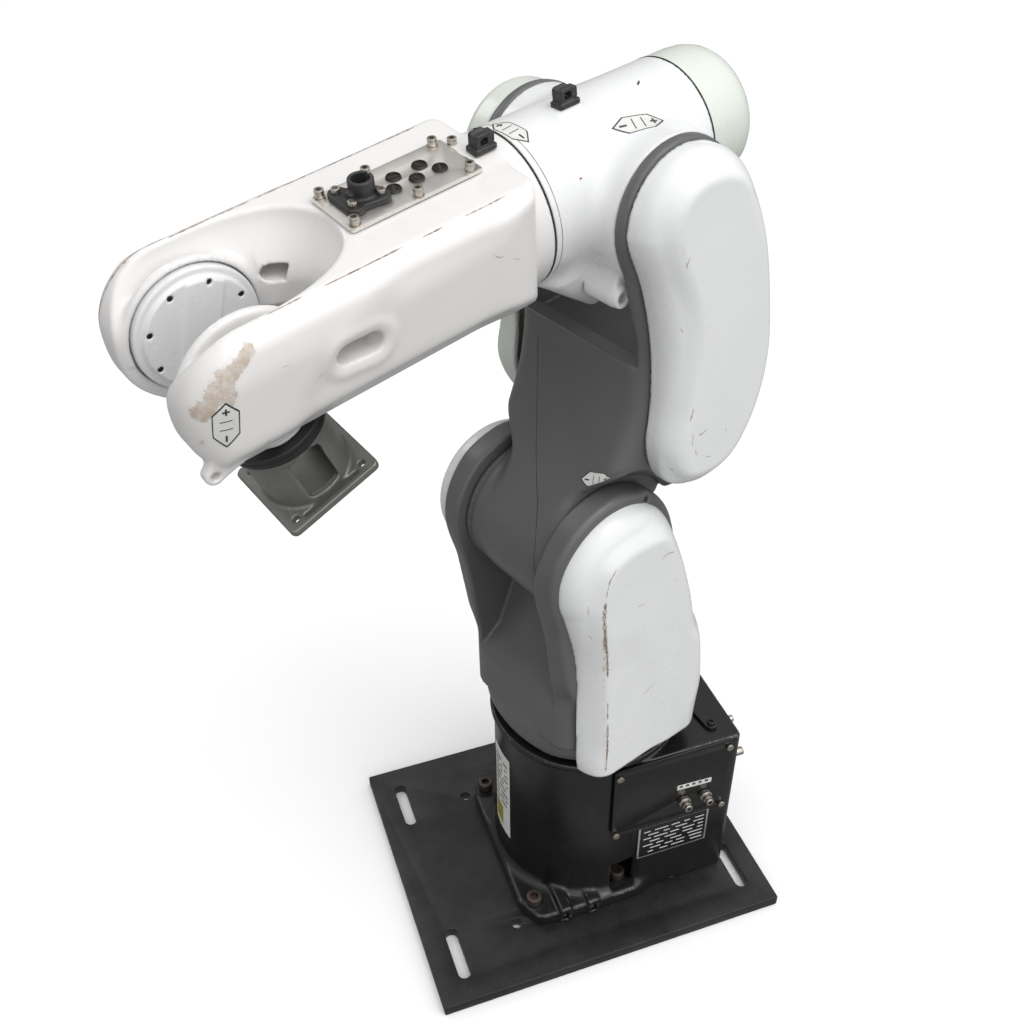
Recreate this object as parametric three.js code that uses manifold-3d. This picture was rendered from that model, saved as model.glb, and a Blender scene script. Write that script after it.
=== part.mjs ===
// A small six-axis articulated robot arm bolted to a slotted steel ground plate.
// Millimetres, +Z up, +X forward, +Y to the robot's left. The origin is on the underside of
// the ground plate, on the axis that the turret turns about.
import * as THREE from 'three';
import { mergeVertices } from 'three/addons/utils/BufferGeometryUtils.js';
import Module from 'manifold-3d';

const wasm = await Module();
wasm.setup();

// ---- driving dimensions -------------------------------------------------------------------
const GAP = 0.3; // clearance between touching pieces
const DEG = Math.PI / 180;

// rest pose: turns of the six joints, in degrees
const YAW = 18.9;
const ARM_LEAN = -7.3;
const FOREARM_PITCH = 8.3;
const FOREARM_ROLL = -7.7;
const WRIST_PITCH = 105.6;

// kinematic lengths
const SHOULDER_X = 43;
const SHOULDER_Z = 469;
const UPPER_ARM = 300;
const ELBOW_OFFSET = 17.2;
const FOREARM = 312.6;

// ground plate and base
const PLATE_FRONT = 204.6;
const PLATE_REAR = -166.1;
const PLATE_HALF = 153.5;
const PLATE_T = 12;
const SLOT = { front: 174.5, rear: -138.3, y: 99.8, width: 13, length: 58 };
const TAPPED = { front: 106, rear: -70, y: 88, r: 5.5 };
const FOOT_BOLT = { front: 83.7, rear: -9.9, y: 79.8, shank: 4.7, hole: 5.3, head: 8 };
const FOOT_TOP = 28;
const BOLT_POCKET = { r: 13, top: 66 };
const BASE_R = 92;
const BASE_TOP = 229;
const BOX_HALF = 94;
const BOX_REAR = -130;
const BOX_TOP = 218;
const BOX_FOOT_FRONT = -24; // below the door the rear box stops short of the rear foot bolts
const DOOR = { x0: -118, x1: 8, z0: 120, z1: 220, t: 3 };
const DOOR_SCREW = { x0: -114, x1: 3.5, z0: 124.5, z1: 211 };

// turret
const RIM_Z = 235;
const TURRET_HALF = 72;
const SLOT_HALF = 52.6;
const EAR_R = 66;
const TURRET_COVER_Y = 101;

// upper arm
const BARREL_R = 59;
const BARREL_HALF = 52.2;
const ARM_HALF = 79.7;
const FORK_HALF = 71.8;
const ELBOW_EAR_R = 54;
const ARM_COVER_Y = 112;

// elbow and forearm
const BOSS_HALF = 71.3;
const TUBE_REAR = -62.8;
const TUBE_FRONT = 89.7;
const TUBE_REAR_R = 51.8;
const TUBE_FRONT_R = 55.8;
const CAP_REAR = -112;
const TOP_Z = 53;
const UNDER_Z = -48;
const PRONG_HALF = 70;
const PRONG_GAP = 30;
const PRONG_R = 53;

// wrist, flange and tool adapter, along the tool axis from the wrist pivot
const CHEEK_R = 38;
const HUB_R = 43;
const YOKE_END = 68;
const FLANGE_R = 37.4;
const FLANGE_END = 78;
const ADAPTER_PLATE = 133;
const ADAPTER_END = 139;
const ADAPTER_HALF = 39;
const TOOL_HOLE = 29.6;

// ---- solids -------------------------------------------------------------------------------
function toSolid(geometry) {
  const bare = new THREE.BufferGeometry();
  bare.setAttribute('position', geometry.getAttribute('position').clone());
  if (geometry.index) bare.setIndex(geometry.index.clone());
  const welded = mergeVertices(bare, 1e-4);
  return new wasm.Manifold(new wasm.Mesh({
    numProp: 3,
    vertProperties: new Float32Array(welded.getAttribute('position').array),
    triVerts: new Uint32Array(welded.index.array),
  }));
}

function toGeometry(solid) {
  const mesh = solid.getMesh();
  const geometry = new THREE.BufferGeometry();
  geometry.setAttribute('position', new THREE.BufferAttribute(new Float32Array(mesh.vertProperties), 3));
  geometry.setIndex(new THREE.BufferAttribute(new Uint32Array(mesh.triVerts), 1));
  geometry.computeVertexNormals();
  return geometry;
}

const join = (...solids) => solids.reduce((a, b) => a.add(b));
const cut = (solid, ...tools) => tools.reduce((a, b) => a.subtract(b), solid);
const common = (...solids) => solids.reduce((a, b) => a.intersect(b));

const X = new THREE.Vector3(1, 0, 0);
const Y = new THREE.Vector3(0, 1, 0);
const Z = new THREE.Vector3(0, 0, 1);

// An outline extruded along an axis from a to b, with both ends rounded by edge. The outline is
// drawn in (y, z) for x, in (x, z) for y and in (x, y) for z. grow moves the whole outline out.
function prism(axis, shape, a, b, { edge = 0, steps = 2, grow = 0, curve = 6 } = {}) {
  const options = { depth: b - a - 2 * edge, curveSegments: curve, bevelEnabled: edge > 0 || grow !== 0 };
  if (options.bevelEnabled) {
    Object.assign(options, {
      bevelThickness: Math.max(edge, 0.01), bevelSize: Math.max(edge, 0.001),
      bevelOffset: grow - edge, bevelSegments: steps,
    });
  }
  const geometry = new THREE.ExtrudeGeometry(shape, options);
  const turn = new THREE.Matrix4();
  if (axis === 'x') {
    geometry.translate(0, 0, a + edge);
    turn.makeBasis(Y, Z, X);
  } else if (axis === 'y') {
    geometry.translate(0, 0, -b + edge);
    turn.makeBasis(X, Z, Y.clone().negate());
  } else {
    geometry.translate(0, 0, a + edge);
  }
  return toSolid(geometry.applyMatrix4(turn));
}

function circle(x, y, r) {
  return new THREE.Shape().absarc(x, y, r, 0, 2 * Math.PI, false);
}

function rectangle(x0, x1, y0, y1, r = 0) {
  const shape = new THREE.Shape();
  if (r === 0) {
    return shape.moveTo(x0, y0).lineTo(x1, y0).lineTo(x1, y1).lineTo(x0, y1);
  }
  shape.absarc(x1 - r, y0 + r, r, -Math.PI / 2, 0, false);
  shape.absarc(x1 - r, y1 - r, r, 0, Math.PI / 2, false);
  shape.absarc(x0 + r, y1 - r, r, Math.PI / 2, Math.PI, false);
  return shape.absarc(x0 + r, y0 + r, r, Math.PI, 1.5 * Math.PI, false);
}

function polygon(...points) {
  return new THREE.Shape(points.map(([x, y]) => new THREE.Vector2(x, y)));
}

// A smooth curve from the outline's last point through the points given, as count chords
function curveThrough(shape, points, count = 2 * points.length) {
  const ends = [shape.currentPoint.clone(), ...points.map(([x, y]) => new THREE.Vector2(x, y))];
  new THREE.SplineCurve(ends).getPoints(count).slice(1).forEach((p) => shape.lineTo(p.x, p.y));
  return shape;
}

// The two circles of a belt-like outline and the straight tangents between them
function strap([x0, y0, r0], [x1, y1, r1]) {
  const heading = Math.atan2(y1 - y0, x1 - x0);
  const lean = Math.acos((r0 - r1) / Math.hypot(x1 - x0, y1 - y0));
  const shape = new THREE.Shape();
  shape.absarc(x0, y0, r0, heading + lean, heading - lean + 2 * Math.PI, false);
  return shape.absarc(x1, y1, r1, heading - lean, heading + lean, false);
}

// A round bar along an axis, centred on the two other coordinates in their alphabetical order
function bar(axis, [p, q], r, a, b, curve = 12) {
  return prism(axis, circle(p, q, r), a, b, { curve });
}

function box(x0, x1, y0, y1, z0, z1) {
  const geometry = new THREE.BoxGeometry(x1 - x0, y1 - y0, z1 - z0);
  return toSolid(geometry.translate((x0 + x1) / 2, (y0 + y1) / 2, (z0 + z1) / 2));
}

function mirrorY(solid) {
  return solid.mirror([0, 1, 0]);
}

// ---- materials ----------------------------------------------------------------------------
const finish = (color, roughness, metalness) =>
  new THREE.MeshStandardMaterial({ color, roughness, metalness, flatShading: true });
const WHITE = finish(0xecebe8, 0.35, 0);
const CAP_WHITE = finish(0xe1e6dc, 0.35, 0);
const GREY = finish(0x5b5b5c, 0.55, 0.1);
const BLACK = finish(0x262628, 0.5, 0.2);
const STEEL_BLACK = finish(0x2c2d2f, 0.6, 0.5);
const STEEL = finish(0xb9b7b2, 0.3, 0.9);
const SATIN = finish(0xe0ddd5, 0.4, 0.4);
const ADAPTER = finish(0x74786f, 0.5, 0.6);
const RUBBER = finish(0x1a1a1b, 0.8, 0);
const PLASTIC = finish(0x202022, 0.45, 0);
const MOTOR = finish(0x3a3b3e, 0.5, 0.4);

const robot = new THREE.Group();

function place(parent, name, solid, material) {
  const mesh = new THREE.Mesh(toGeometry(solid), material);
  mesh.name = name;
  parent.add(mesh);
}

function joint(parent, [x, y, z], axis, degrees) {
  const group = new THREE.Group();
  group.position.set(x, y, z);
  group.quaternion.setFromAxisAngle(axis, degrees * DEG);
  parent.add(group);
  return group;
}

// A socket screw along an axis: its head stands outward from the seat, its shank reaches inward
function screw(axis, [p, q], seat, { head, tall, shank, reach, outward = 1 }) {
  const low = outward > 0 ? seat : seat - tall;
  const shankLow = outward > 0 ? seat - reach : seat - 0.1;
  return join(
    bar(axis, [p, q], head, low, low + tall, 6),
    bar(axis, [p, q], shank, shankLow, shankLow + reach + 0.1, 4),
  );
}

// ---- ground plate -------------------------------------------------------------------------
function groundPlate() {
  let plate = prism('z', rectangle(PLATE_REAR, PLATE_FRONT, -PLATE_HALF, PLATE_HALF), 0, PLATE_T);
  for (const side of [-1, 1]) {
    for (const x of [SLOT.front, SLOT.rear]) {
      const reach = (SLOT.length - SLOT.width) / 2;
      const half = SLOT.width / 2;
      const slot = strap([x, side * SLOT.y - reach, half], [x, side * SLOT.y + reach, half]);
      plate = cut(plate, prism('z', slot, -1, PLATE_T + 1, { curve: 5 }));
    }
    for (const x of [TAPPED.front, TAPPED.rear]) {
      plate = cut(plate, bar('z', [x, side * TAPPED.y], TAPPED.r, -1, PLATE_T + 1, 5));
    }
    for (const x of [FOOT_BOLT.front, FOOT_BOLT.rear]) {
      plate = cut(plate, bar('z', [x, side * FOOT_BOLT.y], FOOT_BOLT.hole, -1, PLATE_T + 1, 5));
    }
  }
  return plate;
}

// ---- base ---------------------------------------------------------------------------------
function baseCasting() {
  const low = PLATE_T + GAP;
  const foot = join(
    prism('z', rectangle(-35, 99, -102, 102, 22), low, FOOT_TOP, { curve: 4 }),
    prism('z', rectangle(-126, -20, -84, 84, 12), low, FOOT_TOP, { curve: 3 }),
  );
  const body = join(
    bar('z', [0, 0], BASE_R, low, BASE_TOP - 7, 16),
    bar('z', [0, 0], BASE_R + 4, BASE_TOP - 7.5, BASE_TOP, 16),
    prism('z', rectangle(BOX_REAR, BOX_FOOT_FRONT, -BOX_HALF, BOX_HALF, 5), low, BOX_TOP, { curve: 3 }),
    prism('z', rectangle(BOX_REAR, 0, -BOX_HALF, BOX_HALF, 5), DOOR.z0 - 2, BOX_TOP, { curve: 3 }),
  );
  const ribs = join(...[20, 52].flatMap((x) => [-1, 1].map((side) =>
    box(x, x + 9, side > 0 ? 60 : -104, side > 0 ? 104 : -60, low, FOOT_TOP + 5))));
  const wall = 8;
  let casting = cut(
    join(foot, body, ribs),
    bar('z', [0, 0], BASE_R - wall, low - 1, BASE_TOP - 34, 10),
    bar('z', [0, 0], 62, low, BASE_TOP + 1, 12),
    box(BOX_REAR + wall, -20, -BOX_HALF + wall, BOX_HALF - wall, low - 1, BOX_TOP - wall),
    box(DOOR.x0 + 14, -12, BOX_HALF - wall - 1, BOX_HALF + 1, DOOR.z0 + 18, DOOR.z1 - 18),
    box(BOX_REAR - 1, BOX_REAR + wall + 1, -60, 60, 70, 190),
  );
  for (const side of [-1, 1]) {
    for (const x of [FOOT_BOLT.front, FOOT_BOLT.rear]) {
      const at = [x, side * FOOT_BOLT.y];
      casting = cut(
        casting,
        bar('z', at, FOOT_BOLT.hole, low - 1, FOOT_TOP + 1, 5),
        bar('z', at, BOLT_POCKET.r, FOOT_TOP, BOLT_POCKET.top, 6),
      );
    }
  }
  for (const [x, z] of doorScrewPlaces()) {
    casting = cut(casting, bar('y', [x, z], 2.2, BOX_HALF - wall - 1, BOX_HALF + 1, 4));
  }
  return casting;
}

function doorScrewPlaces() {
  const { x0, x1, z0, z1 } = DOOR_SCREW;
  return [[x1, z1], [x1, z0], [x0, z1], [x0, z0]];
}

function sideDoor() {
  const inner = BOX_HALF + GAP;
  let door = prism('y', rectangle(DOOR.x0, DOOR.x1, DOOR.z0, DOOR.z1, 4), inner, inner + DOOR.t, { curve: 3 });
  for (const [x, z] of doorScrewPlaces()) {
    door = cut(door, bar('y', [x, z], 2.2, inner - 1, inner + DOOR.t + 1, 4));
  }
  for (const x of [-69.4, -92.9]) {
    door = cut(door, bar('y', [x, 149], 4.4, inner - 1, inner + DOOR.t + 1, 5));
  }
  return door;
}

function airFitting(axis, [p, q], seat, outward) {
  const along = (a, b) => (outward > 0 ? [seat + a, seat + b] : [seat - b, seat - a]);
  return join(
    bar(axis, [p, q], 4, ...along(-9, 0.1), 5),
    bar(axis, [p, q], 6.2, ...along(0, 4.5), 3),
    bar(axis, [p, q], 4.6, ...along(4.4, 13), 6),
  );
}

const base = robot;
place(base, 'ground_plate', groundPlate(), STEEL_BLACK);
place(base, 'base_casting', baseCasting(), BLACK);
const footBolts = [FOOT_BOLT.front, FOOT_BOLT.rear].flatMap((x) => [[x, FOOT_BOLT.y], [x, -FOOT_BOLT.y]]);
footBolts.forEach((at, i) => {
  const bolt = screw('z', at, FOOT_TOP + GAP, { head: FOOT_BOLT.head, tall: 10, shank: FOOT_BOLT.shank, reach: 25 });
  place(base, `foot_bolt_${i + 1}`, bolt, STEEL);
});
place(base, 'side_access_door', sideDoor(), BLACK);
doorScrewPlaces().forEach((at, i) => {
  const seat = BOX_HALF + DOOR.t + 2 * GAP;
  place(base, `door_screw_${i + 1}`, screw('y', at, seat, { head: 3.6, tall: 3, shank: 1.8, reach: 9 }), STEEL);
});
place(base, 'air_fitting_front', airFitting('y', [-69.4, 149], BOX_HALF + DOOR.t + 2 * GAP, 1), STEEL);
place(base, 'air_fitting_rear', airFitting('y', [-92.9, 149], BOX_HALF + DOOR.t + 2 * GAP, 1), STEEL);
place(base, 'rating_plate', box(-103, -24, BOX_HALF + GAP, BOX_HALF + 1.2, 68, 118.5), BLACK);
const panel = cut(
  prism('x', rectangle(-70, 70, 60, 200, 4), BOX_REAR - GAP - 3, BOX_REAR - GAP, { curve: 3 }),
  bar('x', [-30, 110], 14.6, BOX_REAR - 9, BOX_REAR + 1, 8),
  bar('x', [22, 110], 14.6, BOX_REAR - 9, BOX_REAR + 1, 8),
  bar('x', [52, 181], 4.4, BOX_REAR - 9, BOX_REAR + 1, 5),
);
place(base, 'rear_connector_panel', panel, BLACK);
for (const [name, y] of [['power_connector', -30], ['signal_connector', 22]]) {
  const seat = BOX_REAR - 3 - 2 * GAP;
  const connector = cut(
    join(bar('x', [y, 110], 14, seat - 1, seat + 20, 8), bar('x', [y, 110], 19, seat - 12, seat, 8)),
    bar('x', [y, 110], 12, seat - 13, seat - 5, 8),
  );
  place(base, name, connector, STEEL);
}
place(base, 'rear_air_fitting', airFitting('x', [52, 181], BOX_REAR - 3 - 2 * GAP, -1), STEEL);
const strip = join(
  prism('z', strap([-100, 36, 7], [-106, 73, 7]), BOX_TOP + GAP, BOX_TOP + 4, { curve: 5 }),
  bar('z', [-106, 73], 4, BOX_TOP + 3.9, BOX_TOP + 7, 5),
);
place(base, 'turn_stop_strip', strip, BLACK);
const reducer1 = cut(bar('z', [0, 0], 61, 196, BASE_TOP + 2), bar('z', [0, 0], 20, 190, 240, 8));
place(base, 'j1_reducer', reducer1, MOTOR);
place(base, 'j1_motor', join(bar('z', [-72, 0], 30, 62, 176, 10), bar('z', [-72, 0], 8, 175, 204, 6)), MOTOR);

// ---- turret -------------------------------------------------------------------------------
const turret = joint(robot, [0, 0, 0], Z, YAW);

function turretCasting() {
  const low = RIM_Z + GAP;
  const side = new THREE.Shape();
  side.moveTo(-74, low).lineTo(86, low);
  curveThrough(side, [[89, 268], [93, 320], [94, 370], [98, 415]], 5);
  side.lineTo(SHOULDER_X + EAR_R, SHOULDER_Z);
  side.absarc(SHOULDER_X, SHOULDER_Z, EAR_R, 0, Math.PI, false);
  side.lineTo(-46, 400).lineTo(-62, 350).lineTo(-74, 290);
  const plan = rectangle(-80, SHOULDER_X + EAR_R + 1, -TURRET_HALF, TURRET_HALF, 30);
  const drum = bar('z', [0, 0], BASE_R, low, low + 50, 16);
  const earsUp = box(-60, 120, -TURRET_HALF, TURRET_HALF, 380, 560);
  const body = common(
    prism('y', side, -TURRET_HALF, TURRET_HALF, { curve: 6 }),
    join(prism('z', plan, low - 1, 560, { curve: 4 }), earsUp),
  );
  const scoop = polygon([160, 250], [104, 300], [66, 332], [42, 392], [-40, 394], [-120, 394], [-120, 600], [160, 600]);
  return cut(
    join(body, common(drum, box(-100, 88, -TURRET_HALF, TURRET_HALF, low, low + 50))),
    prism('y', scoop, -SLOT_HALF, SLOT_HALF),
    bar('y', [SHOULDER_X, SHOULDER_Z], 63, -SLOT_HALF, SLOT_HALF),
    bar('y', [SHOULDER_X, SHOULDER_Z], 40, -TURRET_HALF - 1, TURRET_HALF + 1),
    bar('z', [0, 0], 60, low - 1, low + 38, 12),
    bar('z', [0, 0], 20, low, 440, 8),
  );
}

// The front edge runs from the foot up through the points given, then round the shoulder from an angle
function turretCoverOutline(footFront, front, from) {
  const shape = new THREE.Shape();
  shape.moveTo(-44, RIM_Z + 3).lineTo(footFront, RIM_Z + 3);
  curveThrough(shape, front, 6);
  shape.absarc(SHOULDER_X, SHOULDER_Z, 61, from * DEG, 155 * DEG, false);
  return curveThrough(shape, [[-27, 455], [-43, 408], [-50, 380], [-63, 355], [-68, 300], [-62, 250]], 8);
}

// A hollow cover with a rounded outer edge: open at its inner face y0, closed at y1
function cover(outline, y0, y1, edge, wall) {
  const outer = prism('y', outline, y0 - edge, y1, { edge, steps: 2, curve: 4 });
  const inner = prism('y', outline, y0 - edge - 2, y1 - wall, { edge, steps: 1, grow: -wall, curve: 4 });
  return cut(outer, inner, box(-300, 300, y0 - 2 * edge - 5, y0, -200, 700));
}

const turretCover = (...outline) => cover(turretCoverOutline(...outline), TURRET_HALF + GAP, TURRET_COVER_Y, 12, 3.5);
const leftCover = turretCover(58, [[74, 252], [79, 300], [80, 350], [86, 398], [93, 424]], -25);
const rightCover = turretCover(40, [[53, 252], [60, 300], [62, 350], [70, 388]], -48);
place(turret, 'turret_casting', turretCasting(), GREY);
place(turret, 'turret_cover_left', leftCover, WHITE);
place(turret, 'turret_cover_right', mirrorY(rightCover), WHITE);
const shoulder = [SHOULDER_X, SHOULDER_Z];
place(turret, 'j2_reducer', cut(bar('y', shoulder, 39.6, 33, 76, 12), bar('y', shoulder, 10, 30, 80, 6)), MOTOR);
place(turret, 'j2_motor', join(bar('y', shoulder, 28, -38, 32.7, 10), bar('y', shoulder, 9.6, 32, 60, 6)), MOTOR);
place(turret, 'j2_bearing', cut(bar('y', shoulder, 39.6, -71, -56, 12), bar('y', shoulder, 30.3, -80, -50, 12)), STEEL);

// ---- upper arm ----------------------------------------------------------------------------
const arm = joint(turret, [SHOULDER_X, 0, SHOULDER_Z], Y, ARM_LEAN);

function armProfile() {
  const shape = new THREE.Shape();
  shape.absarc(0, 0, BARREL_R, -200 * DEG, 20 * DEG, false);
  curveThrough(shape, [[34, 64], [14, 105], [8, 150], [16, 200], [40, 255]], 8);
  shape.absarc(0, UPPER_ARM, ELBOW_EAR_R, -30 * DEG, 190 * DEG, false);
  return curveThrough(shape, [[-80, 240], [-97, 190], [-96, 145], [-80, 105], [-62, 60]], 8);
}

function armCasting() {
  const narrow = prism('y', armProfile(), -BARREL_HALF, BARREL_HALF, { curve: 5 });
  const wide = cut(
    prism('y', armProfile(), -ARM_HALF, ARM_HALF, { edge: 3, steps: 1, curve: 5 }),
    bar('y', [0, 0], 76, -100, 100, 14),
  );
  const lip = polygon([-6, 100], [60, 100], [60, UPPER_ARM], [-6, UPPER_ARM]);
  const sweep = cut(
    bar('y', [0, UPPER_ARM], 129, -FORK_HALF, FORK_HALF, 16),
    cut(prism('y', lip, -90, 90), bar('y', [0, UPPER_ARM], 116, -90, 90, 16)),
  );
  const turned = bar('y', [0, 0], 30, -71, -40, 12);
  return cut(
    join(cut(join(narrow, wide), sweep, bar('y', [0, 0], 46, -40, 100, 14)), turned),
    bar('y', [0, 0], 12, -80, 100, 8),
    bar('y', [0, UPPER_ARM], 39.9, FORK_HALF - 2, 100, 12),
    bar('y', [0, UPPER_ARM], 24, -100, -FORK_HALF + 2, 10),
    bar('y', [-50, 135], 30, -60, 100, 12),
  );
}

function armCoverOutline() {
  const shape = new THREE.Shape();
  shape.absarc(0, UPPER_ARM, 52, -10 * DEG, 140 * DEG, false);
  const rear = [[-72, 294], [-92, 240], [-104, 190], [-102, 140], [-84, 100], [-48, 80]];
  const front = [[-16, 90], [-3, 120], [0, 160], [10, 205], [28, 250], [48, 284]];
  return curveThrough(shape, [...rear, ...front], 22);
}

const armCover = cover(armCoverOutline(), ARM_HALF + GAP, ARM_COVER_Y, 14, 3.5);
place(arm, 'arm_casting', armCasting(), GREY);
place(arm, 'arm_cover_left', armCover, WHITE);
place(arm, 'arm_cover_right', mirrorY(armCover), WHITE);
const elbowAxis = [0, UPPER_ARM];
const reducer3 = join(bar('y', elbowAxis, 39.6, 60, 84, 12), bar('y', elbowAxis, 14, 83, 99, 10));
place(arm, 'j3_reducer', reducer3, MOTOR);
const motor3 = join(bar('y', [-50, 135], 28, -30, 86, 10), bar('y', [-50, 135], 12, 85, 99, 10));
place(arm, 'j3_motor', motor3, MOTOR);
const beltOuter = strap([0, UPPER_ARM, 16], [-50, 135, 14]);
const beltInner = strap([0, UPPER_ARM, 14.3], [-50, 135, 12.3]);
place(arm, 'j3_belt', cut(prism('y', beltOuter, 88, 97), prism('y', beltInner, 80, 105)), RUBBER);

// ---- elbow --------------------------------------------------------------------------------
const elbow = joint(arm, [0, 0, UPPER_ARM], Y, FOREARM_PITCH - ARM_LEAN);
const TUBE_AXIS = [0, ELBOW_OFFSET];

// A round tube along X whose radius runs from r0 at x = a to r1 at x = b
function taper(a, b, r0, r1, centreZ, segments) {
  const geometry = new THREE.CylinderGeometry(r1, r0, b - a, segments);
  geometry.rotateZ(-Math.PI / 2).translate((a + b) / 2, 0, centreZ);
  return toSolid(geometry);
}

function elbowHousing() {
  const keel = polygon([TUBE_FRONT, -20], [TUBE_FRONT, -36], [46, -74], [22, -80], [-20, -50], [-20, 0]);
  return cut(
    join(
      taper(TUBE_REAR, TUBE_FRONT, TUBE_REAR_R, TUBE_FRONT_R, ELBOW_OFFSET, 28),
      bar('y', [0, 0], ELBOW_EAR_R, -BOSS_HALF, BOSS_HALF, 20),
      prism('y', keel, -28, 28),
    ),
    bar('x', TUBE_AXIS, 45, TUBE_REAR - 1, 40, 14),
    bar('x', TUBE_AXIS, 40.3, 39, 74, 12),
    bar('x', TUBE_AXIS, 24, 70, TUBE_FRONT + 1, 10),
    bar('y', [0, 0], 40.3, 40, BOSS_HALF + 1, 12),
    bar('y', [0, 0], 24, -BOSS_HALF - 1, -40, 10),
  );
}

function rearCap() {
  const profile = [[0, CAP_REAR], [34, CAP_REAR], [44, CAP_REAR + 3], [49, CAP_REAR + 9], [50.5, CAP_REAR + 16],
    [TUBE_REAR_R, TUBE_REAR - GAP], [TUBE_REAR_R - 4, TUBE_REAR - GAP], [46, CAP_REAR + 18],
    [38, CAP_REAR + 6], [0, CAP_REAR + 5]];
  const geometry = new THREE.LatheGeometry(profile.map(([r, y]) => new THREE.Vector2(r, y)), 20);
  return toSolid(geometry.rotateZ(-Math.PI / 2).translate(0, 0, ELBOW_OFFSET));
}

// A cable-tie mount: a foot with a raised eye that a tie passes through along Y
function tieMount(x, y, z) {
  const block = join(
    box(x - 9, x + 9, y - 6, y + 6, z, z + 4),
    box(x - 4, x + 6, y - 5, y + 5, z + 3.9, z + 13),
  );
  return cut(block, box(x - 1.6, x + 3.4, y - 7, y + 7, z + 6, z + 10.5));
}

place(elbow, 'elbow_housing', elbowHousing(), WHITE);
place(elbow, 'elbow_rear_cap', rearCap(), CAP_WHITE);
const tubeTop = ELBOW_OFFSET + TUBE_FRONT_R;
place(elbow, 'elbow_tie_mount', tieMount(34, 8, tubeTop - 0.8), PLASTIC);
place(elbow, 'j4_motor', join(bar('x', TUBE_AXIS, 27, -96, 38, 10), bar('x', TUBE_AXIS, 8, 37, 60, 6)), MOTOR);
const reducer4 = cut(bar('x', TUBE_AXIS, 40, 39.5, 73.5, 12), bar('x', TUBE_AXIS, 8.4, 30, 61, 6));
place(elbow, 'j4_reducer', reducer4, MOTOR);

// ---- forearm ------------------------------------------------------------------------------
const forearm = joint(elbow, [0, 0, ELBOW_OFFSET], X, FOREARM_ROLL);

function forearmCasting() {
  const plan = new THREE.Shape();
  plan.moveTo(112, -52).lineTo(150, -66).lineTo(210, -PRONG_HALF).lineTo(330, -PRONG_HALF);
  plan.absarc(346, -PRONG_HALF + 20, 20, -Math.PI / 2, 0, false);
  plan.lineTo(366, PRONG_HALF - 20);
  plan.absarc(346, PRONG_HALF - 20, 20, 0, Math.PI / 2, false);
  plan.lineTo(210, PRONG_HALF).lineTo(150, 66).lineTo(112, 52);
  const side = new THREE.Shape();
  const underEnd = Math.asin(UNDER_Z / PRONG_R);
  side.moveTo(112, UNDER_Z).lineTo(FOREARM - PRONG_R * Math.cos(underEnd), UNDER_Z);
  side.absarc(FOREARM, 0, PRONG_R, -Math.PI - underEnd, Math.PI / 2, false);
  side.lineTo(112, TOP_Z);
  const section = new THREE.Shape();
  section.absarc(PRONG_HALF - 34, UNDER_Z + 30, 34, -Math.PI / 2, 0, false);
  section.absarc(PRONG_HALF - 20, TOP_Z - 20, 20, 0, Math.PI / 2, false);
  section.absarc(-PRONG_HALF + 20, TOP_Z - 20, 20, Math.PI / 2, Math.PI, false);
  section.absarc(-PRONG_HALF + 34, UNDER_Z + 30, 34, Math.PI, 1.5 * Math.PI, false);
  const body = common(
    prism('z', plan, -60, 60, { curve: 4 }),
    prism('y', side, -80, 80, { curve: 8 }),
    prism('x', section, 100, 380, { curve: 4 }),
  );
  const neck = bar('x', [0, 0], TUBE_FRONT_R, TUBE_FRONT + 0.5, 119, 16);
  const mouth = polygon([-PRONG_GAP, -80], [PRONG_GAP, -80], [PRONG_GAP, 14], [46, 60], [-46, 60], [-PRONG_GAP, 14]);
  const throat = new THREE.CylinderGeometry(44, 28, 92, 24).rotateX(Math.PI / 2).translate(268, 0, 8);
  const tieLug = prism('y', strap([352, -34, 16], [361, -52, 8]), 52, 60, { curve: 5 });
  const ovalHole = strap([243, 8, 8], [263, 10, 8]);
  return cut(
    join(body, neck, tieLug),
    prism('x', mouth, 268, 400),
    toSolid(throat),
    bar('y', [FOREARM, 0], HUB_R + 1.5, -PRONG_GAP - 6, PRONG_GAP + 6, 16),
    common(bar('y', [FOREARM, 0], YOKE_END + 2, -PRONG_GAP, PRONG_GAP), box(230, 330, -40, 40, -80, -8)),
    bar('y', [FOREARM, 0], 32, PRONG_GAP, PRONG_GAP + 30, 12),
    prism('y', ovalHole, -90, 90, { curve: 5 }),
    bar('y', [361, -52], 3.6, 40, 70, 5),
    box(128, 206, -21, 21, -36, TOP_Z + 1),
    bar('x', [0, 0], 20, TUBE_FRONT, 140, 10),
  );
}

const PLATE_SCREWS = [[217, -19.5], [217, 19], [182, -20.3], [170.5, 20], [130.5, -19.5], [130, 19.4]];
const PLUGS = [[170.6, -6.6], [178, 4.3], [160.2, 4.1], [150.4, -6.6], [142.6, 4.7]];
const COVER_PLATE = { x0: 122, x1: 222, half: 23.5, z: TOP_Z + GAP, t: 2.2 };

function topPlate() {
  const { x0, x1, half, z, t } = COVER_PLATE;
  let plate = box(x0, x1, -half, half, z, z + t);
  for (const at of PLUGS) {
    plate = cut(plate, bar('z', at, 4.2, z - 1, z + t + 1, 5));
  }
  return plate;
}

function cableClamp(z) {
  const bracket = join(
    prism('z', strap([209, -11, 6.5], [209, 8, 6.5]), z, z + 4, { curve: 4 }),
    prism('z', strap([209, 2, 6.5], [190, 8, 6.5]), z, z + 4, { curve: 4 }),
    box(190, 209, -12, 9, z, z + 4),
    bar('z', [198, 0], 8.5, z + 3.9, z + 15, 8),
  );
  return cut(bracket, bar('z', [198, 0], 5.8, z + 6, z + 20, 8));
}

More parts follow.
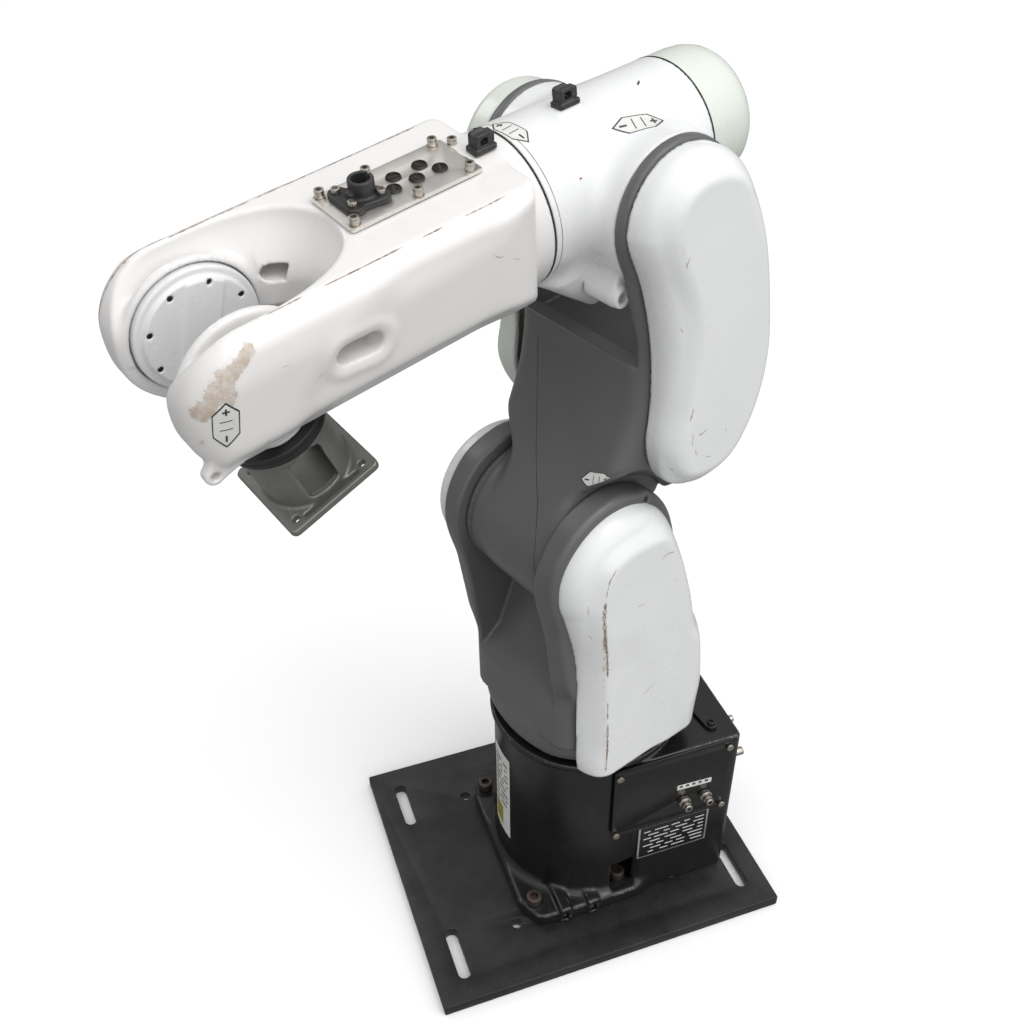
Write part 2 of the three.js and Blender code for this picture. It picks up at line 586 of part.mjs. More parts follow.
place(forearm, 'forearm_casting', forearmCasting(), WHITE);
place(forearm, 'forearm_top_plate', topPlate(), SATIN);
const plateTop = COVER_PLATE.z + COVER_PLATE.t + GAP;
PLATE_SCREWS.forEach(([x, y], i) => {
  place(forearm, `top_plate_screw_${i + 1}`, bar('z', [x, y], 3.6, plateTop, plateTop + 6, 6), STEEL);
});
PLUGS.forEach(([x, y], i) => {
  const plug = join(
    bar('z', [x, y], 3.9, COVER_PLATE.z - 2, plateTop + 0.1, 5),
    bar('z', [x, y], 5.2, plateTop, plateTop + 1.4, 6),
  );
  place(forearm, `port_plug_${i + 1}`, plug, PLASTIC);
});
place(forearm, 'cable_clamp', cableClamp(plateTop), PLASTIC);
place(forearm, 'forearm_tie_mount', tieMount(110, 6, TUBE_FRONT_R + 0.2), PLASTIC);
place(forearm, 'j5_motor', join(bar('x', [0, 0], 18.5, 140, 204, 10), bar('x', [0, 0], 6, 132, 141, 6)), MOTOR);
place(forearm, 'j5_reducer', bar('y', [FOREARM, 0], 31.6, PRONG_GAP + 6.5, PRONG_GAP + 28, 12), MOTOR);

// ---- wrist --------------------------------------------------------------------------------
const wrist = joint(forearm, [FOREARM, 0, 0], Y, WRIST_PITCH);

function wristYoke() {
  const side = join(
    prism('y', strap([0, 0, CHEEK_R], [34, 0, 33]), 23, PRONG_GAP - 0.6, { curve: 8 }),
    bar('y', [0, 0], HUB_R, 26.5, PRONG_GAP + 4, 16),
    box(20, 60, 23, PRONG_GAP - 0.6, -28, 28),
  );
  const collar = bar('x', [0, 0], PRONG_GAP - 0.6, 56, YOKE_END);
  return cut(join(side, mirrorY(side), collar), bar('x', [0, 0], 21, 50, YOKE_END + 1, 8));
}

place(wrist, 'wrist_yoke', wristYoke(), WHITE);

// ---- tool flange and adapter --------------------------------------------------------------
const flange = joint(wrist, [0, 0, 0], X, 0);

function toolAdapter() {
  const start = FLANGE_END + GAP;
  const tube = cut(
    bar('x', [0, 0], 33, start, ADAPTER_PLATE + 1),
    bar('x', [0, 0], 28, start - 1, ADAPTER_PLATE),
    box(start + 9, ADAPTER_PLATE - 6, -50, 50, -13, 13),
  );
  const plate = cut(
    prism('x', rectangle(-ADAPTER_HALF, ADAPTER_HALF, -ADAPTER_HALF, ADAPTER_HALF, 5),
      ADAPTER_PLATE, ADAPTER_END, { curve: 3 }),
    box(ADAPTER_PLATE - 1, ADAPTER_END + 1, 31, 34.5, -24, 24),
    ...[[-1, -1], [-1, 1], [1, -1], [1, 1]].map(([p, q]) =>
      bar('x', [p * TOOL_HOLE, q * TOOL_HOLE], 2.6, ADAPTER_PLATE - 1, ADAPTER_END + 1, 6)),
  );
  return join(tube, plate);
}

const flangeRing = cut(
  bar('x', [0, 0], FLANGE_R, YOKE_END + GAP, FLANGE_END),
  bar('x', [0, 0], 16, YOKE_END - 1, FLANGE_END + 1, 10),
);
place(flange, 'tool_flange', flangeRing, BLACK);
place(flange, 'tool_adapter', toolAdapter(), ADAPTER);

export default robot;
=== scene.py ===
# Looks of a six-axis bench robot arm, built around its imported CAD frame.
# Castings and covers are level surfaces of smooth solid fields, meshed on a grid, in millimetres in
# each link's own frame. Small turned and cut pieces are meshed directly.
import math

import bpy
import bmesh
import numpy as np
from mathutils import Matrix, Vector


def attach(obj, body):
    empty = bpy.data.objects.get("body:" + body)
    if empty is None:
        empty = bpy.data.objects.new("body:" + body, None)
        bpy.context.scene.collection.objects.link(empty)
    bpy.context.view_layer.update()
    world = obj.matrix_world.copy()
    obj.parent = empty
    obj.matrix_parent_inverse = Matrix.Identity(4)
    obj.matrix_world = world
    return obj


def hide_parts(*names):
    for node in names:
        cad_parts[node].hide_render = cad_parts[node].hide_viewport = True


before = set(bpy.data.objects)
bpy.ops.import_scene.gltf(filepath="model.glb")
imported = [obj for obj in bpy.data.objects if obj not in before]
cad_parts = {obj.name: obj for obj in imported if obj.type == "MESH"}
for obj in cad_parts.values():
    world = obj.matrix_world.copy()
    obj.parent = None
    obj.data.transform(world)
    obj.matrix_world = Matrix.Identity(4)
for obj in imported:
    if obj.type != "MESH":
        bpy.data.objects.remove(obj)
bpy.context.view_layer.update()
rng = np.random.default_rng(7)
COARSE = 1.0

# ---- link frames, as the CAD has them at rest ------------------------------------------------
YAW, ARM_LEAN, FOREARM_PITCH, FOREARM_ROLL, WRIST_PITCH = 18.9, -7.3, 8.3, -7.7, 105.6
SHOULDER = (43.0, 0.0, 469.0)
UPPER_ARM, ELBOW_OFFSET, FOREARM = 300.0, 17.2, 312.6
MM = 0.001


def turn(axis, degrees):
    return Matrix.Rotation(math.radians(degrees), 4, axis)


def shift(x, y, z):
    return Matrix.Translation((x, y, z))


BASE = Matrix.Identity(4)
TURRET = turn("Z", YAW)
ARM = TURRET @ shift(*SHOULDER) @ turn("Y", ARM_LEAN)
ELBOW = ARM @ shift(0, 0, UPPER_ARM) @ turn("Y", FOREARM_PITCH - ARM_LEAN)
FORE = ELBOW @ shift(0, 0, ELBOW_OFFSET) @ turn("X", FOREARM_ROLL)
WRIST = FORE @ shift(FOREARM, 0, 0) @ turn("Y", WRIST_PITCH)


def to_world(points, place):
    m = np.array(place)
    return (np.asarray(points, float) @ m[:3, :3].T + m[:3, 3]) * MM


# ---- fields ----------------------------------------------------------------------------------
def fillet(points, r0=0.0, steps=6):
    """An outline with its corners rounded; a point may carry its own radius."""
    out, n = [], len(points)
    for i, p in enumerate(points):
        c = np.array(p[:2], float)
        r = p[2] if len(p) > 2 else r0
        a = np.array(points[i - 1][:2], float) - c
        b = np.array(points[(i + 1) % n][:2], float) - c
        la, lb = np.hypot(*a), np.hypot(*b)
        a, b = a / la, b / lb
        angle = math.acos(max(-1.0, min(1.0, float(a @ b))))
        if r <= 0 or angle > math.pi - 0.02:
            out.append(tuple(c))
            continue
        reach = min(r / math.tan(angle / 2), 0.49 * min(la, lb))
        r = reach * math.tan(angle / 2)
        mid = c + (a + b) / np.hypot(*(a + b)) * (r / math.sin(angle / 2))
        s, e = c + a * reach - mid, c + b * reach - mid
        start = math.atan2(s[1], s[0])
        sweep = (math.atan2(e[1], e[0]) - start + math.pi) % (2 * math.pi) - math.pi
        for k in range(steps + 1):
            t = start + sweep * k / steps
            out.append((mid[0] + r * math.cos(t), mid[1] + r * math.sin(t)))
    return out


def spline(points, n=6, closed=True):
    """Catmull-Rom through the points."""
    p = np.asarray(points, float)
    count = len(p)
    out = []
    for i in range(count if closed else count - 1):
        if closed:
            q = [p[(i + k) % count] for k in (-1, 0, 1, 2)]
        else:
            q = [p[max(i - 1, 0)], p[i], p[i + 1], p[min(i + 2, count - 1)]]
        for k in range(n):
            t = k / n
            out.append(0.5 * (2 * q[1] + (q[2] - q[0]) * t + (2 * q[0] - 5 * q[1] + 4 * q[2] - q[3]) * t * t
                              + (3 * q[1] - q[0] - 3 * q[2] + q[3]) * t ** 3))
    if not closed:
        out.append(p[-1])
    return [tuple(v) for v in out]


def arc(cx, cy, r, a0, a1, n):
    return [(cx + r * math.cos(math.radians(a0 + (a1 - a0) * k / n)),
             cy + r * math.sin(math.radians(a0 + (a1 - a0) * k / n))) for k in range(n + 1)]


def outline(points, margin=48):
    """Signed distance to a closed polygon, slightly softened, as a function of two coordinate arrays.
    It is worked out once on a 1 mm grid and read back between the grid points."""
    p = np.asarray(points, np.float32)
    q = np.roll(p, -1, axis=0)
    corner = np.floor(p.min(0)) - margin
    count = (np.ceil(p.max(0)) + margin - corner).astype(int) + 1
    u, v = (corner[k] + np.arange(count[k], dtype=np.float32) for k in range(2))
    u, v = np.meshgrid(u, v, indexing="ij")
    near = np.full(u.shape, 1e12, np.float32)
    inside = np.zeros(u.shape, bool)
    for (ax, ay), (bx, by) in zip(p, q):
        ex, ey = bx - ax, by - ay
        wx, wy = u - ax, v - ay
        t = np.clip((wx * ex + wy * ey) / max(ex * ex + ey * ey, 1e-12), 0, 1)
        near = np.minimum(near, (wx - ex * t) ** 2 + (wy - ey * t) ** 2)
        left = ex * wy - ey * wx
        inside ^= ((v >= ay) & (v < by) & (left > 0)) | ((v < ay) & (v >= by) & (left <= 0))
    grid = np.where(inside, -1, 1) * np.sqrt(near)
    for axis in (0, 1, 0, 1):
        g = np.pad(grid, [(2, 2) if k == axis else (0, 0) for k in range(2)], mode="reflect",
                   reflect_type="odd")
        cut = [np.take(g, np.arange(k, k + grid.shape[axis]), axis) for k in range(5)]
        grid = (cut[0] + 4 * cut[1] + 6 * cut[2] + 4 * cut[3] + cut[4]) / 16
    grid = grid.astype(np.float32)

    def distance(u, v):
        a, b = np.clip(u - corner[0], 0, count[0] - 1.001), np.clip(v - corner[1], 0, count[1] - 1.001)
        i, j = a.astype(int), b.astype(int)
        s, t = a - i, b - j
        low = grid[i, j] * (1 - s) + grid[i + 1, j] * s
        high = grid[i, j + 1] * (1 - s) + grid[i + 1, j + 1] * s
        return low * (1 - t) + high * t + hyp(u - corner[0] - a, v - corner[1] - b)

    return distance


def hyp(u, v):
    return np.sqrt(u * u + v * v)


def slab(w, a, b):
    return np.abs(w - (a + b) / 2) - (b - a) / 2


def rect(u, v, u0, u1, v0, v1, r=0.0):
    a, b = slab(u, u0, u1) + r, slab(v, v0, v1) + r
    return np.minimum(np.maximum(a, b), 0) + hyp(np.maximum(a, 0), np.maximum(b, 0)) - r


def rim(a, b, r):
    """What two walls hold between them, with their edge rounded."""
    a, b = a + r, b + r
    return np.minimum(np.maximum(a, b), 0) + hyp(np.maximum(a, 0), np.maximum(b, 0)) - r


def smin(a, b, k):
    h = np.clip(0.5 + 0.5 * (b - a) / k, 0, 1)
    return b + (a - b) * h - k * h * (1 - h)


def smax(a, b, k):
    return -smin(-a, -b, k)


def dig(a, b, k=0.0):
    return smax(a, -b, k) if k > 0 else np.maximum(a, -b)


def strap(u, v, p, q, r0, r1):
    """A tapered capsule from p to q."""
    ex, ey = q[0] - p[0], q[1] - p[1]
    t = np.clip(((u - p[0]) * ex + (v - p[1]) * ey) / (ex * ex + ey * ey), 0, 1)
    return hyp(u - p[0] - ex * t, v - p[1] - ey * t) - (r0 + (r1 - r0) * t)


def step(t):
    t = np.clip(t, 0, 1)
    return t * t * (3 - 2 * t)


# ---- meshing ---------------------------------------------------------------------------------
def gradient(field, p, e):
    g = np.empty_like(p)
    for k in range(3):
        a, b = p.copy(), p.copy()
        a[:, k] += e
        b[:, k] -= e
        g[:, k] = (field(*a.T) - field(*b.T)) / (2 * e)
    return g


def settle(field, p, level=0.0, e=0.5, rounds=3, cap=3.0):
    """Points moved onto the level surface along the field's slope, and their normals."""
    p = np.array(p, np.float32)
    for _ in range(rounds):
        g = gradient(field, p, e)
        move = ((field(*p.T) - level) / np.maximum((g * g).sum(1), 0.05))[:, None] * g
        size = np.maximum(np.sqrt((move * move).sum(1)), 1e-9)[:, None]
        p = p - move * np.minimum(1, cap / size)
    g = gradient(field, p, e)
    return p, g / np.maximum(np.sqrt((g * g).sum(1)), 1e-6)[:, None]


def surface(field, lo, hi, h):
    """Vertices and quads of the field's zero surface: one vertex a crossed cell, one quad a crossed edge."""
    lo = np.array(lo, np.float32) - 2 * h
    n = [int(math.ceil((b + 2 * h - a) / h)) + 1 for a, b in zip(lo, hi)]
    x, y, z = (lo[k] + h * np.arange(n[k], dtype=np.float32) for k in range(3))
    f = np.broadcast_to(field(x[:, None, None], y[None, :, None], z[None, None, :]), n).astype(np.float32)
    s = f < 0
    where, at, rings = [], [], []
    for ax in range(3):
        low = tuple(slice(0, -1) if k == ax else slice(None) for k in range(3))
        high = tuple(slice(1, None) if k == ax else slice(None) for k in range(3))
        cross = s[low] != s[high]
        i = np.argwhere(cross)
        fa, fb = f[low][cross], f[high][cross]
        p = i.astype(np.float32)
        p[:, ax] += fa / (fa - fb)
        u, v = (ax + 1) % 3, (ax + 2) % 3
        ring = []
        for du, dv in ((1, 1), (0, 1), (0, 0), (1, 0)):
            c = i.copy()
            c[:, u] -= du
            c[:, v] -= dv
            flat = (c[:, 0] * n[1] + c[:, 1]) * n[2] + c[:, 2]
            where.append(flat)
            at.append(p)
            ring.append(flat)
        ring = np.stack(ring, 1)
        outward = s[low][cross]
        ring[~outward] = ring[~outward][:, ::-1]
        rings.append(ring)
    cells, inverse = np.unique(np.concatenate(where), return_inverse=True)
    at = np.concatenate(at)
    total = np.bincount(inverse, minlength=len(cells))
    verts = np.stack([np.bincount(inverse, at[:, k], len(cells)) / total for k in range(3)], 1)
    verts = (verts * h + lo).astype(np.float32)
    quads = np.searchsorted(cells, np.concatenate(rings))
    verts, _ = settle(field, verts, e=0.35 * h, rounds=2, cap=0.6 * h)
    return verts, quads


def curl(field, p, e):
    """How sharply the surface bends outward at p, in 1/mm."""
    total = -6 * field(*p.T)
    for k in range(3):
        for d in (-e, e):
            a = p.copy()
            a[:, k] += d
            total = total + field(*a.T)
    return total / (e * e)


def add_object(name, mesh, body, material, nodes=()):
    ob = bpy.data.objects.new(name, mesh)
    bpy.context.scene.collection.objects.link(ob)
    mesh.materials.clear()
    mesh.materials.append(material)
    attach(ob, body)
    if nodes:
        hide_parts(*nodes)
    return ob


def mesh_of(name, verts, faces, smooth=True, sharp=None):
    me = bpy.data.meshes.new(name)
    me.from_pydata([tuple(v) for v in verts], [], [tuple(int(i) for i in f) for f in faces])
    me.validate()
    if smooth:
        me.shade_smooth()
        if sharp is not None:
            me.set_sharp_from_angle(angle=math.radians(sharp))
    return me


def cast(name, body, place, field, lo, hi, h, material, nodes=(), stain=None):
    """A piece meshed from its field, carrying how worn its edges are and where it is stained."""
    h = h * COARSE
    verts, quads = surface(field, lo, hi, h)
    world = to_world(verts, place)
    me = bpy.data.meshes.new(name)
    me.vertices.add(len(world))
    me.vertices.foreach_set("co", world.astype(np.float32).ravel())
    me.loops.add(4 * len(quads))
    me.loops.foreach_set("vertex_index", quads.astype(np.int32).ravel())
    me.polygons.add(len(quads))
    me.polygons.foreach_set("loop_start", np.arange(0, 4 * len(quads), 4, dtype=np.int32))
    me.update(calc_edges=True)
    me.validate()
    me.shade_smooth()
    edge = np.clip(curl(field, verts, 0.9 * h) * 3.0, 0, 1)
    marks = {"edge": edge, "stain": np.zeros(len(verts)) if stain is None else np.clip(stain(*verts.T), 0, 1)}
    for key, value in marks.items():
        me.attributes.new(key, "FLOAT", "POINT").data.foreach_set("value", value.astype(np.float32))
    return add_object(name, me, body, material, nodes)


def smooth_ring(axis, centre, profile, n=40, hexagon=None):
    """A turned closed mesh: profile is (radius, height) from the foot out and up to the top centre.
    hexagon = (size, depth) sinks a hex socket in the top."""
    verts, faces, rows = [], [], []
    for r, t in profile:
        if r <= 1e-9:
            rows.append([len(verts)])
            verts.append((0, 0, t))
            continue
        rows.append(list(range(len(verts), len(verts) + n)))
        verts += [(r * math.cos(2 * math.pi * k / n), r * math.sin(2 * math.pi * k / n), t) for k in range(n)]
    if hexagon:
        size, depth = hexagon
        top = profile[-1][1]
        for t in (top, top - depth):
            rows.append(list(range(len(verts), len(verts) + n)))
            for k in range(n):
                a = 2 * math.pi * k / n
                r = size / math.cos((a + math.pi / 6) % (math.pi / 3) - math.pi / 6)
                verts.append((r * math.cos(a), r * math.sin(a), t))
    for a, b in zip(rows, rows[1:]):
        for k in range(n):
            k1 = (k + 1) % n
            if len(a) == 1:
                faces.append((a[0], b[k1], b[k]))
            elif len(b) == 1:
                faces.append((a[k], a[k1], b[0]))
            else:
                faces.append((a[k], a[k1], b[k1], b[k]))
    if len(rows[0]) > 1:
        faces.append(tuple(reversed(rows[0])))
    if len(rows[-1]) > 1:
        faces.append(tuple(rows[-1]))
    turn_to = {"z": Matrix.Identity(3), "-z": Matrix.Rotation(math.pi, 3, "X"),
               "x": Matrix.Rotation(math.pi / 2, 3, "Y"), "-x": Matrix.Rotation(-math.pi / 2, 3, "Y"),
               "y": Matrix.Rotation(-math.pi / 2, 3, "X"), "-y": Matrix.Rotation(math.pi / 2, 3, "X")}[axis]
    return [tuple(turn_to @ Vector(v) + Vector(centre)) for v in verts], faces


def joined(parts):
    verts, faces = [], []
    for v, f in parts:
        base = len(verts)
        verts += v
        faces += [tuple(i + base for i in face) for face in f]
    return verts, faces


def turned(name, body, place, parts, material, nodes=(), sharp=32):
    verts, faces = joined(parts)
    return add_object(name, mesh_of(name, to_world(verts, place), faces, True, sharp), body, material,
                      nodes)


def cap_screw(axis, at, r, tall, sunk=0.0):
    """A socket-head screw whose head stands on at, with a stub of its shank below."""
    c = 0.14 * r
    profile = [(0.55 * r, -sunk), (0.55 * r, 0), (0.97 * r, 0), (r, c * 0.4), (r, tall - c),
               (r - 0.3 * c, tall - 0.35 * c), (r - c, tall), (0.62 * r, tall)]
    return smooth_ring(axis, at, profile, 36, hexagon=(0.5 * r, 0.55 * tall))


def cut_plate(name, body, place, axis, outlines, a, b, bevel, material, nodes=()):
    """A flat plate with holes, its edges broken, drawn in the two axes other than axis."""
    cu = bpy.data.curves.new(name + "_c", "CURVE")
    cu.dimensions, cu.fill_mode = "2D", "BOTH"
    for points in outlines:
        sp = cu.splines.new("POLY")
        sp.points.add(len(points) - 1)
        for q, (u, v) in zip(sp.points, points):
            q.co = (u, v, 0, 1)
        sp.use_cyclic_u = True
    cu.extrude, cu.bevel_depth, cu.bevel_resolution, cu.offset = (b - a) / 2 - bevel, bevel, 1, -bevel
    ob = bpy.data.objects.new(name + "_c", cu)
    bpy.context.scene.collection.objects.link(ob)
    me = bpy.data.meshes.new_from_object(ob.evaluated_get(bpy.context.evaluated_depsgraph_get()))
    bpy.data.objects.remove(ob)
    bm = bmesh.new()
    bm.from_mesh(me)
    bpy.data.meshes.remove(me)
    bmesh.ops.remove_doubles(bm, verts=bm.verts, dist=1e-4)
    bmesh.ops.recalc_face_normals(bm, faces=bm.faces)
    mid = (a + b) / 2
    order = {"z": lambda u, v, w: (u, v, w + mid), "y": lambda u, v, w: (u, w + mid, v),
             "x": lambda u, v, w: (w + mid, u, v)}[axis]
    for v in bm.verts:
        v.co = (place @ Vector(order(*v.co))) * MM
    if axis == "y":
        bmesh.ops.reverse_faces(bm, faces=bm.faces)
    me = bpy.data.meshes.new(name)
    bm.to_mesh(me)
    bm.free()
    me.shade_smooth()
    me.set_sharp_from_angle(angle=math.radians(25))
    return add_object(name, me, body, material, nodes)


def ribbon(field, points, width, level=0.12, rough=0.25, gap=2.0):
    """A thin strip that lies on the field's surface along the points, in the field's own frame."""
    p = np.asarray(points, np.float32)
    p, _ = settle(field, p)
    length = np.concatenate([[0], np.cumsum(np.sqrt((np.diff(p, axis=0) ** 2).sum(1)))])
    n = max(int(length[-1] / gap), 2)
    at = np.linspace(0, length[-1], n + 1)
    line = np.stack([np.interp(at, length, p[:, k]) for k in range(3)], 1)
    line, normal = settle(field, line, level)
    along = np.gradient(line, axis=0)
    side = np.cross(normal, along)
    side /= np.maximum(np.sqrt((side ** 2).sum(1)), 1e-6)[:, None]
    w = width * 0.5 * (1 + rough * rng.uniform(-1, 1, n + 1))
    w = w * np.clip(np.minimum(at, length[-1] - at) / (2.5 * gap) + 0.15, 0, 1)
    left, _ = settle(field, line + side * w[:, None], level, rounds=2)
    right, _ = settle(field, line - side * w[:, None], level, rounds=2)
    verts = [tuple(v) for v in np.concatenate([left, right])]
    faces = [(k, k + n + 1, k + n + 2, k + 1) for k in range(n)]
    return verts, faces


def patch(field, centre, u_axis, polygon, level=0.15, cell=1.5):
    """A thin label lying on the field's surface: a polygon in mm about centre, its u along u_axis."""
    c, normal = settle(field, np.array([centre], np.float32))
    c, normal = c[0], normal[0]
    u = np.array(u_axis, float)
    u -= normal * (u @ normal)
    u /= np.linalg.norm(u)
    v = np.cross(normal, u)
    bm = bmesh.new()
    bm.faces.new([bm.verts.new((a, b, 0)) for a, b in polygon])
    size = max(max(abs(a), abs(b)) for a, b in polygon)
    for axis in ((1, 0, 0), (0, 1, 0)):
        for k in range(-int(size / cell), int(size / cell) + 1):
            geom = bm.verts[:] + bm.edges[:] + bm.faces[:]
            bmesh.ops.bisect_plane(bm, geom=geom, plane_co=Vector(axis) * (k * cell), plane_no=axis, dist=1e-5)
    bm.verts.index_update()
    flat = np.array([v_.co[:2] for v_ in bm.verts], float)
    faces = [tuple(x.index for x in f.verts) for f in bm.faces]
    bm.free()
    p = c + flat[:, :1] * u + flat[:, 1:] * v
    p, _ = settle(field, p, level, rounds=8)
    return [tuple(q) for q in p], faces


def flat_piece(name, body, place, parts, material):
    verts, faces = joined(parts)
    return add_object(name, mesh_of(name, to_world(verts, place), faces, True), body, material)


# ---- materials -------------------------------------------------------------------------------
class Nodes:
    """Short words for building a node tree."""

    def __init__(self, name):
        self.mat = bpy.data.materials.new(name)
        self.mat.use_nodes = True
        self.tree = self.mat.node_tree
        self.shader = self.tree.nodes["Principled BSDF"]
        self.coord = self.tree.nodes.new("ShaderNodeTexCoord").outputs["Object"]

    def link(self, a, b):
        self.tree.links.new(a, b)

    def put(self, socket, value):
        if isinstance(value, bpy.types.NodeSocket):
            self.link(value, socket)
        else:
            socket.default_value = value

    def noise(self, scale, detail=4.0, rough=0.55, stretch=(1, 1, 1), offset=0.0):
        m = self.tree.nodes.new("ShaderNodeMapping")
        m.inputs["Scale"].default_value = stretch
        m.inputs["Location"].default_value = (offset, offset * 0.7, offset * 1.3)
        self.link(self.coord, m.inputs["Vector"])
        t = self.tree.nodes.new("ShaderNodeTexNoise")
        t.inputs["Scale"].default_value, t.inputs["Detail"].default_value = scale, detail
        t.inputs["Roughness"].default_value = rough
        self.link(m.outputs[0], t.inputs["Vector"])
        return t.outputs["Fac"]

    def attribute(self, name):
        a = self.tree.nodes.new("ShaderNodeAttribute")
        a.attribute_name = name
        return a.outputs["Fac"]

    def math(self, op, a, b=0.0, clamp=False):
        m = self.tree.nodes.new("ShaderNodeMath")
        m.operation, m.use_clamp = op, clamp
        self.put(m.inputs[0], a)
        self.put(m.inputs[1], b)
        return m.outputs[0]

    def between(self, value, low, high, out_low=0.0, out_high=1.0):
        m = self.tree.nodes.new("ShaderNodeMapRange")
        self.put(m.inputs["Value"], value)
        for key, v in (("From Min", low), ("From Max", high), ("To Min", out_low), ("To Max", out_high)):
            m.inputs[key].default_value = v
        return m.outputs[0]

    def mix(self, factor, a, b):
        m = self.tree.nodes.new("ShaderNodeMix")
        m.data_type = "RGBA"
        self.put(m.inputs[0], factor)
        for socket, c in ((m.inputs[6], a), (m.inputs[7], b)):
            self.put(socket, (*c, 1) if isinstance(c, tuple) else c)
        return m.outputs[2]

    def bump(self, height, strength, distance):
        b = self.tree.nodes.new("ShaderNodeBump")
        b.inputs["Strength"].default_value, b.inputs["Distance"].default_value = strength, distance
        self.put(b.inputs["Height"], height)
        self.link(b.outputs[0], self.shader.inputs["Normal"])


def painted(name, colour, tint, rough, chip=(0.20, 0.16, 0.13), chips=0.5, dirt=(0.42, 0.36, 0.29), dirty=0.5,
            peel=0.10, coat=0.0, metallic=0.0, stains=(0.47, 0.38, 0.30)):
    """Sprayed or moulded finish: soft colour drift, faint grime, scuffs, chipped edges and orange peel."""
    n = Nodes(name)
    drift = n.between(n.noise(7, 3), 0.35, 0.65)
    base = n.mix(drift, colour, tint)
    grime = n.math("MULTIPLY", n.between(n.noise(22, 8, 0.65, offset=3.1), 0.56, 0.80), 0.35 * dirty)
    base = n.mix(grime, base, dirt)
    streaks = n.between(n.noise(60, 6, 0.6, (1.0, 1.0, 0.18), 9.0), 0.66, 0.74)
    base = n.mix(n.math("MULTIPLY", streaks, 0.04 * dirty), base, dirt)
    specks = n.between(n.noise(420, 2, 0.5, offset=5.0), 0.735, 0.76)
    base = n.mix(n.math("MULTIPLY", specks, 0.5 * dirty), base, dirt)
    fine = n.noise(300, 5, 0.7, offset=1.7)
    broad = n.between(n.noise(28, 3, 0.6, offset=6.0), 0.44, 0.62)
    worn = n.math("MULTIPLY", n.between(n.attribute("edge"), 0.55, 0.95), broad)
    worn = n.math("MULTIPLY", worn, n.between(fine, 0.50, 0.56))
    base = n.mix(n.math("MULTIPLY", worn, chips, True), base, chip)
    flaked = n.math("ADD", n.attribute("stain"),
                    n.between(n.noise(75, 9, 0.72, offset=2.2), 0.0, 1.0, -0.65, 1.25))
    spot = n.between(flaked, 1.03, 1.09)
    dust = n.math("MULTIPLY", n.between(flaked, 0.72, 1.15),
                  n.between(n.attribute("stain"), 0.05, 0.6, 0.0, 0.30))
    tone = n.mix(n.between(n.noise(190, 5, 0.7, offset=1.1), 0.42, 0.60), stains,
                 tuple(0.45 * c + 0.36 for c in stains))
    base = n.mix(n.math("MAXIMUM", n.math("MULTIPLY", spot, 0.92), dust), base, tone)
    n.link(base, n.shader.inputs["Base Color"])
    gloss = n.between(n.noise(35, 5, 0.6, offset=4.0), 0.3, 0.7, rough - 0.05, rough + 0.08)
    n.link(n.math("ADD", gloss, n.math("MULTIPLY", spot, 0.25)), n.shader.inputs["Roughness"])
    n.shader.inputs["Metallic"].default_value = metallic
    n.shader.inputs["Coat Weight"].default_value = coat
    n.shader.inputs["Coat Roughness"].default_value = 0.12
    height = n.math("ADD", n.math("MULTIPLY", n.noise(900, 2), 0.6), n.math("MULTIPLY", worn, -1.5 * chips))
    n.bump(height, peel, 0.0004)
    return n.mat


def metal(name, colour, tint, rough, metallic=1.0, brushed=(1, 1, 12), scratch=0.25, grain=0.15, rust=None):
    """Machined or plated metal: brushed grain, scratches and dull patches."""
    n = Nodes(name)
    patchy = n.between(n.noise(16, 6, 0.65), 0.36, 0.66)
    base = n.mix(patchy, colour, tint)
    lines = n.between(n.noise(240, 4, 0.6, brushed, 2.0), 0.35, 0.65)
    base = n.mix(n.math("MULTIPLY", lines, 0.22), base, tuple(min(1, 1.5 * c) for c in colour))
    nick = n.between(n.noise(90, 7, 0.6, (6, 0.5, 1), 7.0), 0.66, 0.70)
    base = n.mix(n.math("MULTIPLY", nick, scratch), base, tuple(min(1, 2.2 * c + 0.05) for c in colour))
    if rust:
        patches = n.between(n.noise(70, 8, 0.7, offset=8.0), 0.52, 0.66)
        base = n.mix(n.math("MULTIPLY", patches, rust[1]), base, rust[0])
    n.link(base, n.shader.inputs["Base Color"])
    n.link(n.between(n.noise(55, 6, 0.6, offset=5.0), 0.3, 0.7, rough - 0.08, rough + 0.10),
           n.shader.inputs["Roughness"])
    n.shader.inputs["Metallic"].default_value = metallic
    n.bump(n.math("ADD", lines, n.noise(700, 3)), grain, 0.0003)
    return n.mat


def plastic(name, colour, tint, rough, grain=0.25):
    """Moulded plastic or rubber with a fine grain."""
    n = Nodes(name)
    base = n.mix(n.between(n.noise(60, 5), 0.35, 0.65), colour, tint)
    dust = n.between(n.noise(160, 6, 0.7, offset=3.0), 0.60, 0.75)
    base = n.mix(n.math("MULTIPLY", dust, 0.25), base, tuple(c + 0.10 for c in colour))
    n.link(base, n.shader.inputs["Base Color"])
    n.link(n.between(n.noise(80, 4), 0.3, 0.7, rough - 0.06, rough + 0.10), n.shader.inputs["Roughness"])
    n.bump(n.noise(1500, 3), grain, 0.0002)
    return n.mat


